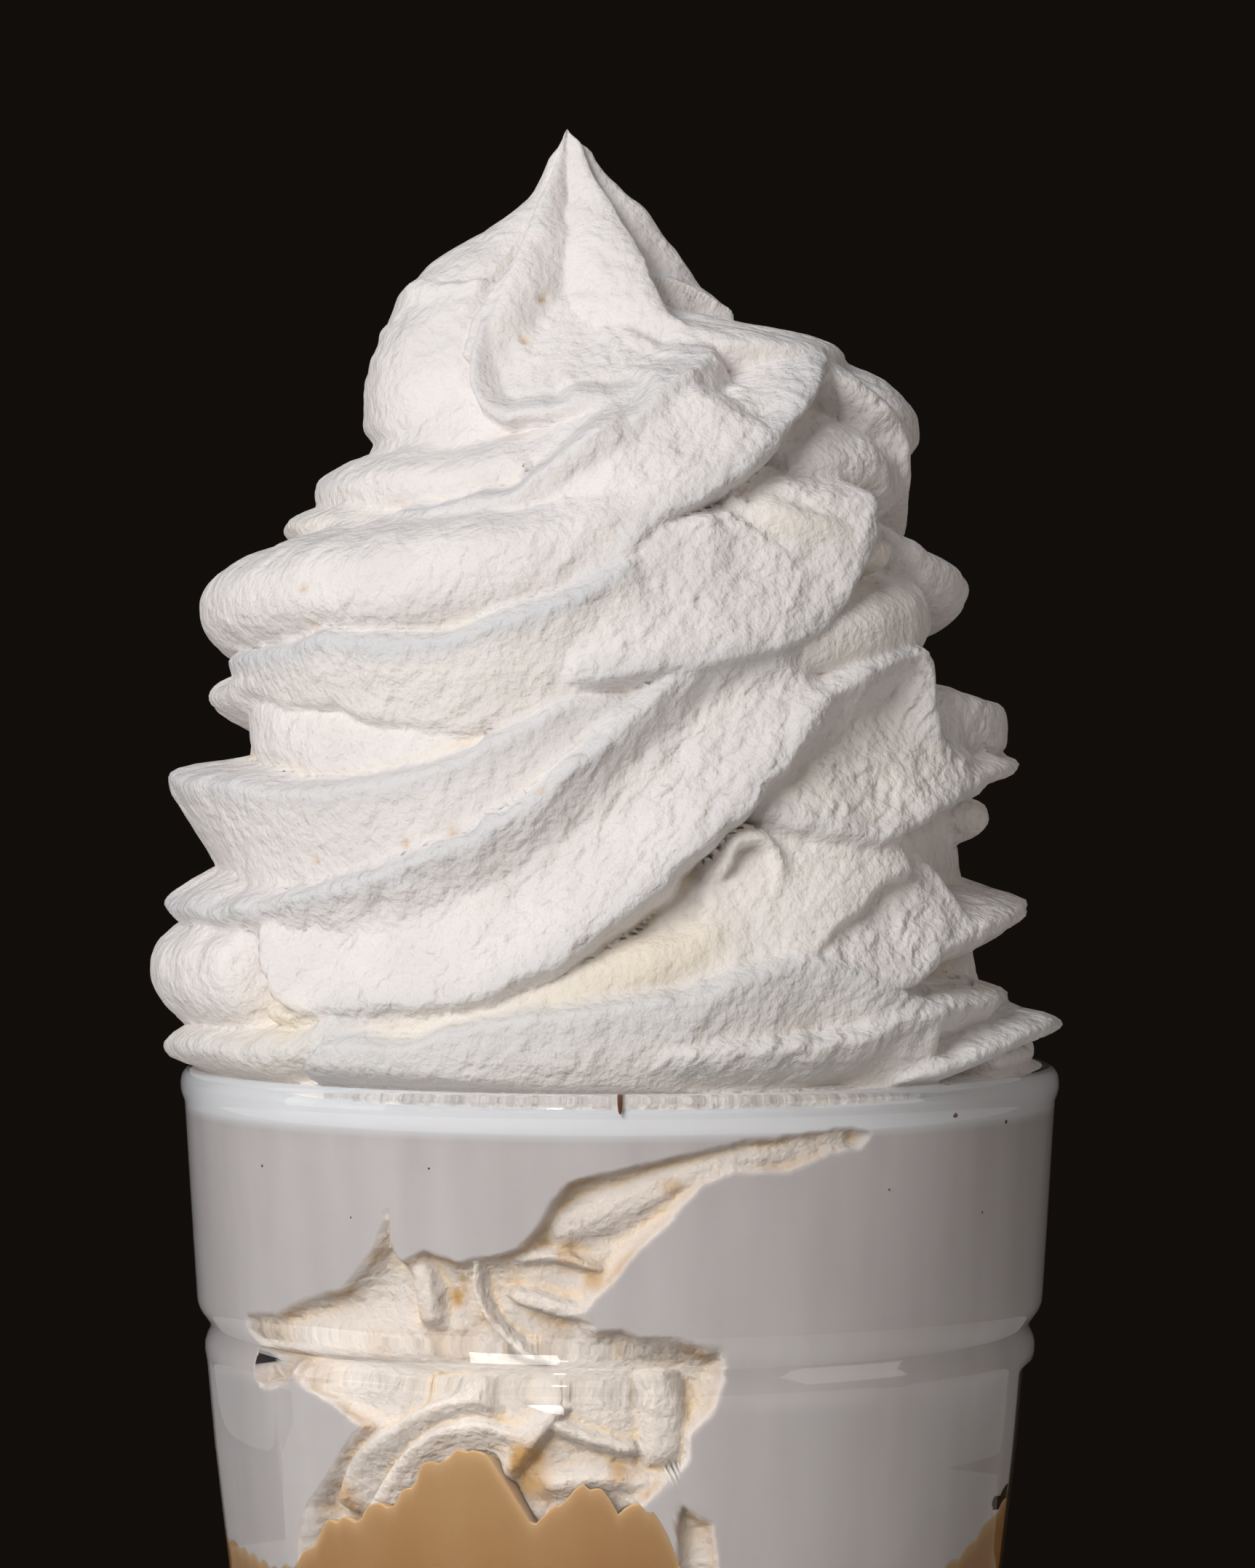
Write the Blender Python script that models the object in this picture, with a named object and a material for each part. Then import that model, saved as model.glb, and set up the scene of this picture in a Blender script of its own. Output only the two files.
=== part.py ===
"""A sundae glass: milky coffee layer, whipped cream filling and a tall piped swirl.

Frame: metres, +Z up, origin on the table at the middle of the glass's base.  -Y is the
front, and an angle of 0 degrees points there; angles grow to the right, towards +X.
Sizes below are in millimetres and degrees, and MM turns them into metres.
"""

import math

import bmesh
import bpy
import numpy as np

MM = 0.001

# Glass tumbler: a smooth upper band over a tapered body with flat panels.
GLASS_HEIGHT = 130.0
RIM_RADIUS = 40.0
BASE_RADIUS = 26.6
BODY_TOP = 103.0
BODY_TOP_RADIUS = 37.7
GROOVE_HEIGHT = 106.4
GROOVE_RADIUS = 37.3
BAND_FOOT = 108.6
BAND_FOOT_RADIUS = 38.5
LIP_FOOT = 126.4
LIP_FOOT_RADIUS = 39.6
PANELS = 12
RIB_ANGLE = 9.0          # where one rib between two panels stands
RIB_WIDTH = 3.0
PANEL_FOOT = 5.0
FLOOR_TOP = 9.0          # inside of the glass's floor
FLOOR_ROUND = 3.0        # rounding between the floor and the wall inside
INNER_FLOOR_RADIUS = 24.6
INNER_GROOVE_RADIUS = 35.3
INNER_RIM_RADIUS = 36.9
INNER_RIM_HEIGHT = 128.4
INNER_RIM_BEVEL = 0.5

# Outside of the glass, foot to rim: (height, radius, whether flat panels cut it).
GLASS_OUTSIDE = (
    (0.0, BASE_RADIUS - 1.6, False), (0.5, BASE_RADIUS - 0.4, False),
    (PANEL_FOOT, BASE_RADIUS + 0.3, True), (BODY_TOP / 2, (BASE_RADIUS + BODY_TOP_RADIUS) / 2, True),
    (BODY_TOP - 1.0, BODY_TOP_RADIUS - 0.1, True), (BODY_TOP, BODY_TOP_RADIUS, False),
    (BODY_TOP + 2.2, BODY_TOP_RADIUS + 0.1, False), (GROOVE_HEIGHT, GROOVE_RADIUS, False),
    (BAND_FOOT - 1.2, BAND_FOOT_RADIUS - 0.4, False), (BAND_FOOT, BAND_FOOT_RADIUS, False),
    (LIP_FOOT, LIP_FOOT_RADIUS, False), (GLASS_HEIGHT - 1.4, RIM_RADIUS, False),
    (GLASS_HEIGHT - 0.4, RIM_RADIUS - 0.5, False), (GLASS_HEIGHT, RIM_RADIUS - 1.4, False),
)

# Inside of the glass, rim to floor: (height, radius).
GLASS_INSIDE = (
    (GLASS_HEIGHT - 0.4, INNER_RIM_RADIUS + INNER_RIM_BEVEL), (INNER_RIM_HEIGHT, INNER_RIM_RADIUS),
    (GROOVE_HEIGHT, INNER_GROOVE_RADIUS), (FLOOR_TOP + FLOOR_ROUND, INNER_FLOOR_RADIUS + 0.3),
    (FLOOR_TOP, INNER_FLOOR_RADIUS - FLOOR_ROUND),
)

# Gap kept between touching pieces.
GAP = 0.3

# Grid of the cream: columns round the axis, rows up the swirl and over its peak.
COLUMNS = 84
FILL_ROWS = 13
SWIRL_ROWS = 33
CROWN_ROWS = 14
CROWN_CENTRE = 184.0     # height of the point that the crown's rows fan out from
CROWN_SAMPLES = 400      # heights searched for the crown's rows

# Whipped cream above the rim.
RIM_CONTACT_RADIUS = 38.9
RIM_OVERHANG = 4.2
OVERHANG_RISE = 1.1      # the overhang grows to most of its reach over this height
FIRST_ROW_RISE = 0.8     # height of the first row above the rim
PEAK_HEIGHT = 215.2
PEAK_CLEARANCE = 0.2     # the last row stays this far below the tip
PEAK_BLUNTNESS = 9.0     # reach of the peak a millimetre below its tip
FALL = 4.0               # a strand's surface falls this far at its stated half width
END_WIDTH = 2.5          # and this far past its ends
SPREAD = 16.0            # a strand shapes nothing farther above or below it than this,
SPREAD_ANGLE = 50.0      # nor farther round the swirl
CORE_COVER = 3.0         # how far the strands stand over the core on the whole
STEP_ANGLE = 2.0         # spacing of the points along a strand

# The swirl's middle line leans a little to the left: (height, offset).
LEAN = ((130, 0.0), (140, -1.0), (155, -2.4), (172, -3.0), (181, -1.0), (189, -1.0),
        (198, -4.4), (216, -4.8))

# Body of cream under the strands: (height, radius).
CORE = ((128, 34.0), (150, 32.5), (162, 30.5), (172, 27.5), (181, 24.0), (189, 20.2), (194, 16.2),
        (199, 11.4), (204, 7.3), (209, 3.3), (211, 2.1), (213, 1.1), (215.2, 0.0))

# Piped strands.  Crest points are (angle, height, reach); a strand runs left to right, so its
# first half width is the one above it.  A power over 1 gives a round strand, under 1 a crease.
STRANDS = {
    "peak_left": (((-20, 213.6, 1.5), (-23, 210.0, 4.5), (-24, 207.0, 7.0), (-25, 204.0, 9.8), (-24, 201.0, 12.5),
                   (-24, 198.0, 15.0), (-29, 195.2, 17.5), (-32, 192.7, 19.5), (-31, 190.2, 21.2), (-26, 188.8, 22.2),
                   (-18, 188.7, 22.9), (-8, 189.3, 23.5), (3, 190.3, 23.8), (12, 191.4, 23.4)),
                  (3.4, 1.8), (1.3, 1.5)),
    "peak_right": (((36, 212.9, 2.4), (31, 210.7, 4.2), (34, 208.3, 6.5), (33, 205.8, 9.0), (32, 203.4, 11.5),
                    (31, 200.9, 13.9), (31, 199.2, 15.5), (31, 197.1, 17.6), (33, 195.7, 19.2)),
                   (1.2, 3.6), (1.0, 1.3)),
    "peak_far": (((80, 212.5, 2.4), (82, 210.5, 3.9), (84, 208.5, 6.0), (85, 206.5, 7.9), (86, 204, 9.7),
                  (86, 201.8, 11.1), (85, 199.8, 12.7), (80, 198, 15.0)), (3.0, 4.6), (1.5, 1.3)),
    "peak_west": (((-92, 212, 1.8), (-92, 209.8, 2.9), (-92, 208.0, 4.8), (-92, 206.2, 7.3), (-93, 204.5, 10.2),
                   (-94, 203.0, 12.6), (-95, 201.4, 14.5), (-95, 200.0, 15.8), (-95, 198.2, 16.4),
                   (-96, 196.5, 17.6)), (12.0, 9.0), (2.0, 2.0)),
    "peak_back": (((205, 212, 2.0), (200, 206, 7.2), (190, 200, 12.2), (175, 195, 17.0), (160, 192, 20.0)),
                  (4.0, 4.0), (1.5, 1.5)),
    "shoulder": (((30, 193.8, 20.8), (39, 194.3, 22.0), (56, 194.6, 23.4), (75, 194.6, 23.7), (95, 194.4, 23.1),
                  (130, 195, 19.8), (170, 196.2, 16.4), (210, 198, 13.4)), (2.5, 3.0), (1.5, 1.8)),
    "top_lobe_right": (((70, 186.2, 27.0), (82, 186.8, 28.0), (105, 187.3, 28.0), (150, 188.4, 26.0),
                        (180, 188.6, 24.6), (205, 188.6, 23.4)), (6.4, 3.0), (3.0, 2.4)),
    "top_lobe_left": (((195, 188.6, 23.6), (240, 188, 22.4), (275, 188.2, 22.4), (300, 188.4, 21.8),
                       (318, 188.8, 19.8)), (7.6, 3.0), (1.6, 2.4)),
    "right_fold": (((56, 192.4, 25.4), (64, 190, 27.2), (70, 186.8, 28.2), (72, 183.4, 28.6)), (3.2, 3.2), (1.8, 1.8)),
    "upper_lobe": (((62, 176, 31.4), (78, 173.6, 34.0), (98, 173, 34.4), (150, 177, 32.6), (200, 180.6, 30.2),
                    (240, 182.8, 27.8), (270, 183.4, 26.8), (300, 183.3, 27.3), (320, 183.1, 27.4),
                    (335, 183.2, 27.2), (347, 184.1, 26.8), (355, 185.8, 26.2), (362, 187.6, 25.4)),
                   (3.0, 4.0), (2.2, 2.4)),
    "small_lobe": (((-120, 178, 28.6), (-88, 178.7, 29.0), (-62, 178.8, 29.4), (-44, 178.3, 28.6)),
                   (2.0, 2.2), (1.8, 1.8)),
    "top_ribbon_edge": (((-40, 178.8, 29.2), (-27, 179.8, 30.5), (-16, 182.0, 30.2), (-7, 184.7, 29.4),
                         (0, 187.5, 27.6), (5, 189.4, 26.9), (10, 190.7, 26.4), (19, 192.1, 26.0), (26, 193.1, 25.6),
                         (29, 192.0, 26.4), (32, 190.5, 27.4), (38, 189.6, 27.8)), (0.9, 7.0), (1.0, 1.4)),
    "top_ribbon": (((-38, 178.6, 29.8), (-23, 180.2, 31.0), (-13, 181.2, 31.4), (-4, 182.6, 31.8),
                    (5, 184.2, 31.8), (13, 186.3, 31.0), (22, 188.0, 30.0), (32, 189.4, 28.8)),
                   (4.0, 5.0), (2.0, 1.6)),
    "sharp_ridge": (((-3, 174.0, 34.4), (4, 176.0, 34.8), (13, 179.5, 33.7), (19, 181.9, 32.6), (27, 184.4, 31.2),
                     (37, 187.4, 29.4), (48, 190.8, 27.4), (56, 193.2, 25.4)), (4.5, 1.5), (1.3, 1.0)),
    "big_lobe": (((74, 163, 36.4), (84, 161.8, 37.8), (104, 161.2, 38.0), (150, 164.2, 38.0),
                  (200, 167.4, 37.0), (240, 170, 35.8), (270, 171.5, 35.2), (292, 172, 36.4),
                  (318, 172.8, 37.4), (336, 173.0, 37.5), (350, 174.2, 36.6), (360, 176.4, 34.8),
                  (368, 178.8, 32.8)), (4.6, 4.4), (2.6, 2.6)),
    "ribbon_edge": (((-66, 166.6, 34.8), (-54, 167.2, 36.2), (-37, 168.0, 37.4), (-20, 168.4, 37.9),
                     (-10, 169.9, 37.6), (-2, 171.4, 37.0), (6, 173.6, 36.0)), (1.0, 13.0), (1.2, 1.0)),
    "right_ribbon": (((-12, 167.2, 37.0), (4, 169.6, 37.4), (15, 172.6, 36.6), (26, 176.4, 35.0),
                      (36, 181, 33.0), (44, 185.6, 30.6), (50, 190, 28.0)), (4.6, 4.5), (1.7, 3.0)),
    "left_knob": (((82, 152.2, 35.6), (100, 153, 36.0), (140, 155, 37.0), (190, 158.5, 37.0), (240, 161.6, 35.4),
                   (270, 163.2, 34.8), (288, 163.6, 34.6), (303, 164.6, 35.2)), (2.2, 2.4), (2.2, 2.0)),
    "front_fold": (((88, 144.8, 38.2), (140, 147.5, 39.4), (200, 151.5, 39.4), (240, 154.6, 38.8),
                    (270, 156.7, 38.6), (300, 156.6, 38.6), (318, 156.3, 39.1), (330, 156.7, 39.3),
                    (341, 158.5, 39.3), (350, 161.2, 38.7), (358, 163.7, 37.6), (366, 163.9, 36.2)),
                   (0.8, 8.0), (1.0, 1.0)),
    "low_fold": (((100, 138.2, 36.8), (140, 139.5, 39.0), (200, 141.8, 40.0), (240, 143.5, 40.2),
                  (270, 144.8, 40.0), (300, 144.7, 39.8), (317, 145.9, 39.7), (330, 147.6, 40.1),
                  (341, 150.2, 40.3), (350, 153.0, 40.3), (356, 156.0, 39.9), (366, 161, 38.9),
                  (372, 164, 37.8), (380, 165.9, 36.6)), (3.0, 2.2), (1.0, 1.2)),
    "broad_ribbon": (((-50, 140.2, 38.8), (-36, 140.8, 41.0), (-22, 142.6, 41.6), (-11, 145.3, 41.6),
                      (-2, 148.8, 41.3), (8, 153.2, 40.7), (17, 157.5, 39.9), (26, 161.2, 38.8),
                      (34, 164.2, 37.4)), (5.2, 4.5), (1.7, 3.0)),
    "inner_ribbon": (((-4, 139.4, 38.4), (4, 142, 38.9), (12, 145.2, 39.2), (20, 148.4, 39.1),
                      (28, 151.4, 38.7), (38, 154.6, 37.6)), (4.0, 4.8), (2.0, 2.2)),
    "flute_top": (((34, 163.6, 36.6), (43, 165.5, 36.4), (52, 166.6, 36.0), (60, 163.6, 36.6), (64, 160, 36.8)),
                  (1.3, 1.6), (1.2, 1.0)),
    "flute_foot": (((32, 148.4, 38.4), (42, 151.2, 38.6), (54, 153.8, 38.6), (72, 156.2, 38.2), (88, 157.2, 38.5),
                    (104, 157.4, 37.6)), (3.0, 1.3), (0.9, 1.3)),
    "right_spike": (((27, 141.0, 38.9), (36, 141.2, 40.0), (47, 142.2, 40.3), (60, 143.6, 39.6), (76, 144.6, 38.8),
                     (96, 144.8, 38.0)), (4.6, 2.6), (1.1, 1.7)),
    "right_roll": (((22, 138.8, 40.0), (34, 136.2, 41.0), (46, 136.2, 40.8), (60, 137.4, 39.4), (80, 137.8, 37.0),
                    (100, 138, 36.4)), (2.6, 2.8), (1.8, 1.8)),
    "left_bulge": (((96, 133.6, 39.4), (140, 134, 41.0), (200, 134.8, 41.5), (240, 136.4, 41.6),
                    (262, 138, 41.6), (284, 138.6, 41.9), (304, 139, 41.0)), (5.0, 5.2), (2.4, 2.4)),
    "rim_roll": (((-104, 132.2, 40.6), (-84, 131.9, 41.4), (-72, 132.4, 41.2), (-58, 132.9, 40.8),
                  (-44, 132.8, 40.4), (-32, 134.2, 40.2), (-17, 136.6, 40.0), (-3, 138.6, 39.8),
                  (10, 140.0, 39.4), (18, 139.4, 39.2)), (2.4, 3.0), (2.0, 2.0)),
    "front_roll": (((-40, 131.6, 40.6), (-31, 132.4, 41.6), (-17, 132.9, 42.0), (0, 133.9, 42.1),
                    (13, 134.8, 42.1), (26, 135.4, 41.9), (38, 134.6, 41.4), (48, 132.6, 40.6)),
                   (4.0, 3.6), (2.4, 2.2)),
    "right_rope": (((40, 130.8, 40.8), (48, 132.4, 41.5), (58, 134, 41.8), (68, 135, 41.9), (76, 135.3, 41.6)),
                   (1.6, 1.9), (2.0, 2.0)),
    "right_rim_roll": (((60, 131.6, 39.6), (90, 131.8, 39.8), (130, 131.6, 40.4), (180, 131.6, 40.4),
                        (225, 131.8, 40.6), (258, 132.0, 40.8)), (2.2, 2.6), (2.0, 2.0)),
}

# Where the cream stands back from the glass: outlines in (angle, height), with their depth.
POCKETS = (
    (((-46, 108), (-38, 111), (-29, 115.6), (-24, 113), (-13, 113.6), (-8, 119), (2, 121), (16, 124),
      (37, 126.4), (44, 126.0), (30, 123.4), (16, 121), (5, 116.4), (-4, 110.4), (2, 107.6), (12, 104.8),
      (9, 99.6), (5, 95.6), (2, 86), (-40, 86), (-36, 99), (-34, 102.6), (-42, 105)), 3.2),
    (((70, 92), (86, 96), (98, 104), (104, 112), (118, 117), (130, 113), (126, 103), (112, 96), (94, 90), (76, 88)), 3.0),
    (((166, 104), (178, 110), (196, 113), (210, 118), (226, 120), (222, 113), (204, 105), (190, 98), (172, 97)), 3.0),
    (((246, 92), (256, 100), (268, 104), (282, 102), (288, 96), (276, 92), (260, 88)), 2.6),
)
POCKET_SLOPE = 1.1       # how fast a pocket deepens from its outline

# Top of the coffee layer along the glass: (angle, height), a wavy line with rounded humps.
COFFEE_TOP = ((-60, 86.0), (-45, 93.0), (-38, 94.4), (-31, 96.2), (-24, 98.6), (-19, 98.4), (-12, 93.2),
              (-5, 96.0), (2, 94.2), (8, 89.0), (16, 85.0), (40, 83.5), (62, 87.5), (76, 92.0), (90, 88.0),
              (108, 92.5), (126, 86.0), (150, 91.0), (172, 95.0), (196, 89.5), (216, 85.5), (238, 90.5),
              (256, 93.0), (276, 87.0), (300, 86.0))
COFFEE_MIDDLE = 88.0
COFFEE_RINGS = (0.35, 0.7)   # where rings lie on the layer's top, as shares of its radius


def material(name, colour, roughness, **sockets):
    """A Principled material with the piece's own colour and finish."""
    made = bpy.data.materials.new(name)
    made.use_nodes = True
    shader = made.node_tree.nodes["Principled BSDF"]
    shader.inputs["Base Color"].default_value = (*colour, 1.0)
    shader.inputs["Roughness"].default_value = roughness
    shader.inputs["Metallic"].default_value = 0.0
    for socket, value in sockets.items():
        shader.inputs[socket.replace("_", " ")].default_value = value
    return made


def smooth_path(points, step):
    """Points every `step` degrees of turn or millimetres of rise on a smooth line through `points`."""
    line = []
    ends = [2 * np.array(points[0]) - points[1], *map(np.array, points), 2 * np.array(points[-1]) - points[-2]]
    for before, start, end, after in zip(ends, ends[1:], ends[2:], ends[3:]):
        count = max(2, math.ceil(max(abs(end[0] - start[0]), 2 * abs(end[1] - start[1])) / step))
        for t in np.arange(count) / count:
            line.append(0.5 * (2 * start + (end - before) * t
                               + (2 * before - 5 * start + 4 * end - after) * t ** 2
                               + (3 * start - before - 3 * end + after) * t ** 3))
    line.append(ends[-2])
    return np.array(line)


def table(rows, at):
    """Value at height `at` on the line through (height, value) rows."""
    heights, values = zip(*rows)
    return np.interp(at, heights, values)


def strand_reach(strand, angles, heights):
    """Reach of one strand on a grid of angles by heights, falling away from its crest line."""
    points, widths, powers = strand
    line = smooth_path(points, STEP_ANGLE)
    last = len(line) - 2
    reach = np.full((len(angles), len(heights)), -100.0)
    rows = np.flatnonzero(np.abs(heights - np.clip(heights, line[:, 1].min(), line[:, 1].max())) < SPREAD)
    for turn in (-360.0, 0.0, 360.0):
        turned = angles + turn
        outside = np.abs(turned - np.clip(turned, line[:, 0].min(), line[:, 0].max()))
        columns = np.flatnonzero(outside < SPREAD_ANGLE)
        if not len(columns) or not len(rows):
            continue
        angle, height = np.meshgrid(turned[columns], heights[rows], indexing="ij")
        arc = np.radians(table(CORE, height) + CORE_COVER)
        nearest = np.full(angle.shape, 1e9)
        found = np.full(angle.shape, -100.0)
        for start in range(last + 1):
            step_x = (line[start + 1, 0] - line[start, 0]) * arc
            step_z = line[start + 1, 1] - line[start, 1]
            length = np.hypot(step_x, step_z) + 1e-9
            x, z = (angle - line[start, 0]) * arc, height - line[start, 1]
            along = (x * step_x + z * step_z) / length
            side = (z * step_x - x * step_z) / length
            t = np.clip(along / length, 0, 1)
            beyond = np.abs(along - t * length)
            distance = np.hypot(side, beyond)
            at_end = (along < 0) & (start == 0) | (along > length) & (start == last)
            across = np.where(at_end, np.abs(side), distance)
            width = np.where(side > 0, widths[0], widths[1])
            power = np.where(side > 0, powers[0], powers[1])
            fall = (across / width) ** power + np.where(at_end, (beyond / END_WIDTH) ** 2, 0.0)
            crest = line[start, 2] + t * (line[start + 1, 2] - line[start, 2])
            closer = distance < nearest
            nearest = np.where(closer, distance, nearest)
            found = np.where(closer, crest - FALL * fall, found)
        spot = np.ix_(columns, rows)
        reach[spot] = np.maximum(reach[spot], found)
    return reach


def swirl_reach(angles, heights):
    """Distance of the cream's surface from the swirl's middle line, on a grid of angles by heights."""
    reach = np.tile(table(CORE, heights), (len(angles), 1))
    for strand in STRANDS.values():
        reach = np.maximum(reach, strand_reach(strand, angles, heights))
    above_rim = np.maximum(heights - GLASS_HEIGHT - GAP, 0.0)
    limit = RIM_CONTACT_RADIUS + RIM_OVERHANG * (1.0 - np.exp(-above_rim / OVERHANG_RISE))
    under_peak = np.sqrt(np.maximum(PEAK_HEIGHT - heights, 0.0)) * PEAK_BLUNTNESS
    return np.minimum(reach, np.minimum(limit, under_peak))


def wall_radius(height):
    """Inner radius of the glass."""
    return np.interp(height, (FLOOR_TOP, GROOVE_HEIGHT, INNER_RIM_HEIGHT, GLASS_HEIGHT),
                     (INNER_FLOOR_RADIUS, INNER_GROOVE_RADIUS, INNER_RIM_RADIUS,
                      INNER_RIM_RADIUS + INNER_RIM_BEVEL))


def pocket_depth(angle, height):
    """How far the cream stands back from the glass at one (angle, height)."""
    depth = 0.0
    scale = math.radians(1.0) * float(wall_radius(height))
    for outline, deepest in POCKETS:
        for turn in (-360.0, 0.0, 360.0):
            inside, nearest = False, 1e9
            for (a0, h0), (a1, h1) in zip(outline, outline[1:] + outline[:1]):
                if (h0 > height) != (h1 > height):
                    if angle + turn < a0 + (height - h0) / (h1 - h0) * (a1 - a0):
                        inside = not inside
                x0, x1, x = a0 * scale, a1 * scale, (angle + turn) * scale
                length = (x1 - x0) ** 2 + (h1 - h0) ** 2
                t = min(1.0, max(0.0, ((x - x0) * (x1 - x0) + (height - h0) * (h1 - h0)) / length))
                nearest = min(nearest, math.hypot(x - x0 - t * (x1 - x0), height - h0 - t * (h1 - h0)))
            if inside:
                depth = max(depth, min(deepest, nearest * POCKET_SLOPE))
    return depth


def coffee_top(angle):
    """Height of the coffee layer's edge on the glass."""
    first = COFFEE_TOP[0][0]
    turned = (angle - first) % 360.0 + first
    rows = COFFEE_TOP + ((first + 360, COFFEE_TOP[0][1]),)
    return table(rows, turned)


def loft(name, rings, finish, tip=None):
    """One closed solid through rings of points, bottom to top, with a fan of faces on each end."""
    mesh = bpy.data.meshes.new(name)
    shape = bmesh.new()
    columns = len(rings[0])
    bmesh.ops.create_circle(shape, cap_ends=False, segments=columns, radius=1.0)
    shape.verts.ensure_lookup_table()
    shape.edges.ensure_lookup_table()
    ring = list(shape.verts)
    edges = list(shape.edges)
    for vert, place in zip(ring, rings[0]):
        vert.co = place
    loops = [ring]
    for places in rings[1:]:
        grown = bmesh.ops.extrude_edge_only(shape, edges=edges)["geom"]
        edges = [item for item in grown if isinstance(item, bmesh.types.BMEdge)]
        new = [item for item in grown if isinstance(item, bmesh.types.BMVert)]
        by_old = {}
        for vert in new:
            for edge in vert.link_edges:
                old = edge.other_vert(vert)
                if old in ring:
                    by_old[old] = vert
        ring = [by_old[vert] for vert in ring]
        for vert, place in zip(ring, places):
            vert.co = place
        loops.append(ring)
    for end, point in ((loops[0], None), (loops[-1], tip)):
        middle = shape.verts.new(point or sum((vert.co for vert in end), end[0].co * 0) / columns)
        for one, other in zip(end, end[1:] + end[:1]):
            shape.faces.new((one, other, middle))
    bmesh.ops.recalc_face_normals(shape, faces=shape.faces)
    bmesh.ops.triangulate(shape, faces=shape.faces)
    shape.to_mesh(mesh)
    shape.free()
    mesh.shade_smooth()
    solid = bpy.data.objects.new(name, mesh)
    bpy.context.scene.collection.objects.link(solid)
    mesh.materials.append(finish)
    return solid


def place(angle, radius, height, middle=0.0):
    """A point in metres at an angle, radius and height."""
    turn = math.radians(angle)
    return ((middle + radius * math.sin(turn)) * MM, -radius * math.cos(turn) * MM, height * MM)


def panel_radius(angle, radius):
    """Radius of the body's outside: flat panels between narrow ribs."""
    pitch = 360.0 / PANELS
    half = math.radians(pitch / 2)
    rib_half = RIB_WIDTH / 2 / radius
    across = math.radians((angle - RIB_ANGLE) % pitch) - half
    return min(radius, radius * math.cos(half - rib_half) / math.cos(across))


def build_glass():
    pitch = 360.0 / PANELS
    rib_half = math.degrees(RIB_WIDTH / 2 / BODY_TOP_RADIUS)
    steps = (0.0, rib_half, pitch / 3 + rib_half / 3, pitch * 2 / 3 - rib_half / 3, pitch - rib_half)
    angles = [RIB_ANGLE + panel * pitch + step for panel in range(PANELS) for step in steps]
    rings = []
    for height, radius, panelled in GLASS_OUTSIDE:
        rings.append([place(a, panel_radius(a, radius) if panelled else radius, height) for a in angles])
    for height, radius in GLASS_INSIDE:
        rings.append([place(a, radius, height) for a in angles])
    return loft("glass", rings, material("clear_glass", (0.95, 0.97, 0.96), 0.03,
                                         Transmission_Weight=1.0, IOR=1.5))


def build_coffee_layer():
    angles = [column * 360.0 / COLUMNS for column in range(COLUMNS)]
    rings = [[place(a, INNER_FLOOR_RADIUS - FLOOR_ROUND - GAP, FLOOR_TOP + GAP) for a in angles],
             [place(a, INNER_FLOOR_RADIUS - GAP, FLOOR_TOP + FLOOR_ROUND + GAP) for a in angles]]
    tops = [float(coffee_top(a)) for a in angles]
    rings.append([place(a, wall_radius(top) - GAP, top) for a, top in zip(angles, tops)])
    for part in reversed(COFFEE_RINGS):
        rings.append([place(a, (wall_radius(top) - GAP) * part, COFFEE_MIDDLE + (top - COFFEE_MIDDLE) * part)
                      for a, top in zip(angles, tops)])
    return loft("coffee_layer", rings, material("milky_coffee", (0.55, 0.33, 0.17), 0.35))


def build_whipped_cream():
    angles = np.arange(COLUMNS) * 360.0 / COLUMNS
    rings = []
    tops = [float(coffee_top(a)) + GAP for a in angles]
    middle = COFFEE_MIDDLE + GAP
    for part in COFFEE_RINGS:
        rings.append([place(a, (wall_radius(top) - GAP) * part, middle + (top - middle) * part)
                      for a, top in zip(angles, tops)])
    for row in range(FILL_ROWS + 1):
        ring = []
        for a, top in zip(angles, tops):
            height = top + (INNER_RIM_HEIGHT - top) * row / FILL_ROWS
            radius = float(wall_radius(height)) - GAP
            ring.append(place(a, radius - (pocket_depth(a, height) if row else 0.0), height))
        rings.append(ring)
    seat = GLASS_HEIGHT + GAP
    rings.append([place(a, INNER_RIM_RADIUS - GAP, GLASS_HEIGHT) for a in angles])
    rings.append([place(a, RIM_CONTACT_RADIUS, seat) for a in angles])
    heights = np.linspace(seat + FIRST_ROW_RISE, CROWN_CENTRE, SWIRL_ROWS + 1)
    reach = swirl_reach(angles, heights)
    for row, height in enumerate(heights):
        lean = float(table(LEAN, height))
        rings.append([place(a, reach[column, row], height, lean) for column, a in enumerate(angles)])
    fine = np.linspace(CROWN_CENTRE, PEAK_HEIGHT, CROWN_SAMPLES)
    crown = swirl_reach(angles, fine)
    for row in range(1, CROWN_ROWS):
        slope = math.tan(math.radians(90.0 * row / CROWN_ROWS))
        past = crown - (fine - CROWN_CENTRE)[None, :] / slope
        last = past.shape[1] - 1 - np.argmax(past[:, ::-1] > 0, axis=1)
        ring = []
        for column, a in enumerate(angles):
            low, high = past[column, last[column]], past[column, min(last[column] + 1, past.shape[1] - 1)]
            height = float(fine[last[column]] + low / max(low - high, 1e-9) * (fine[1] - fine[0]))
            height = min(height, PEAK_HEIGHT - PEAK_CLEARANCE)
            ring.append(place(a, (height - CROWN_CENTRE) / slope, height, float(table(LEAN, height))))
        rings.append(ring)
    tip = place(0, 0, PEAK_HEIGHT, float(table(LEAN, PEAK_HEIGHT)))
    return loft("whipped_cream", rings, material("whipped_cream", (0.93, 0.90, 0.85), 0.5), tip)


def main():
    for old in list(bpy.data.objects):
        bpy.data.objects.remove(old)
    build_glass()
    build_coffee_layer()
    build_whipped_cream()


main()
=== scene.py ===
"""A sundae glass with milky coffee and a tall swirl of whipped cream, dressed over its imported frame.

Sizes are in millimetres and degrees unless a name says otherwise.  The front faces -Y; an angle
of 0 degrees points there and grows towards +X.  Colours are linear.
"""

import itertools
import math

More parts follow.
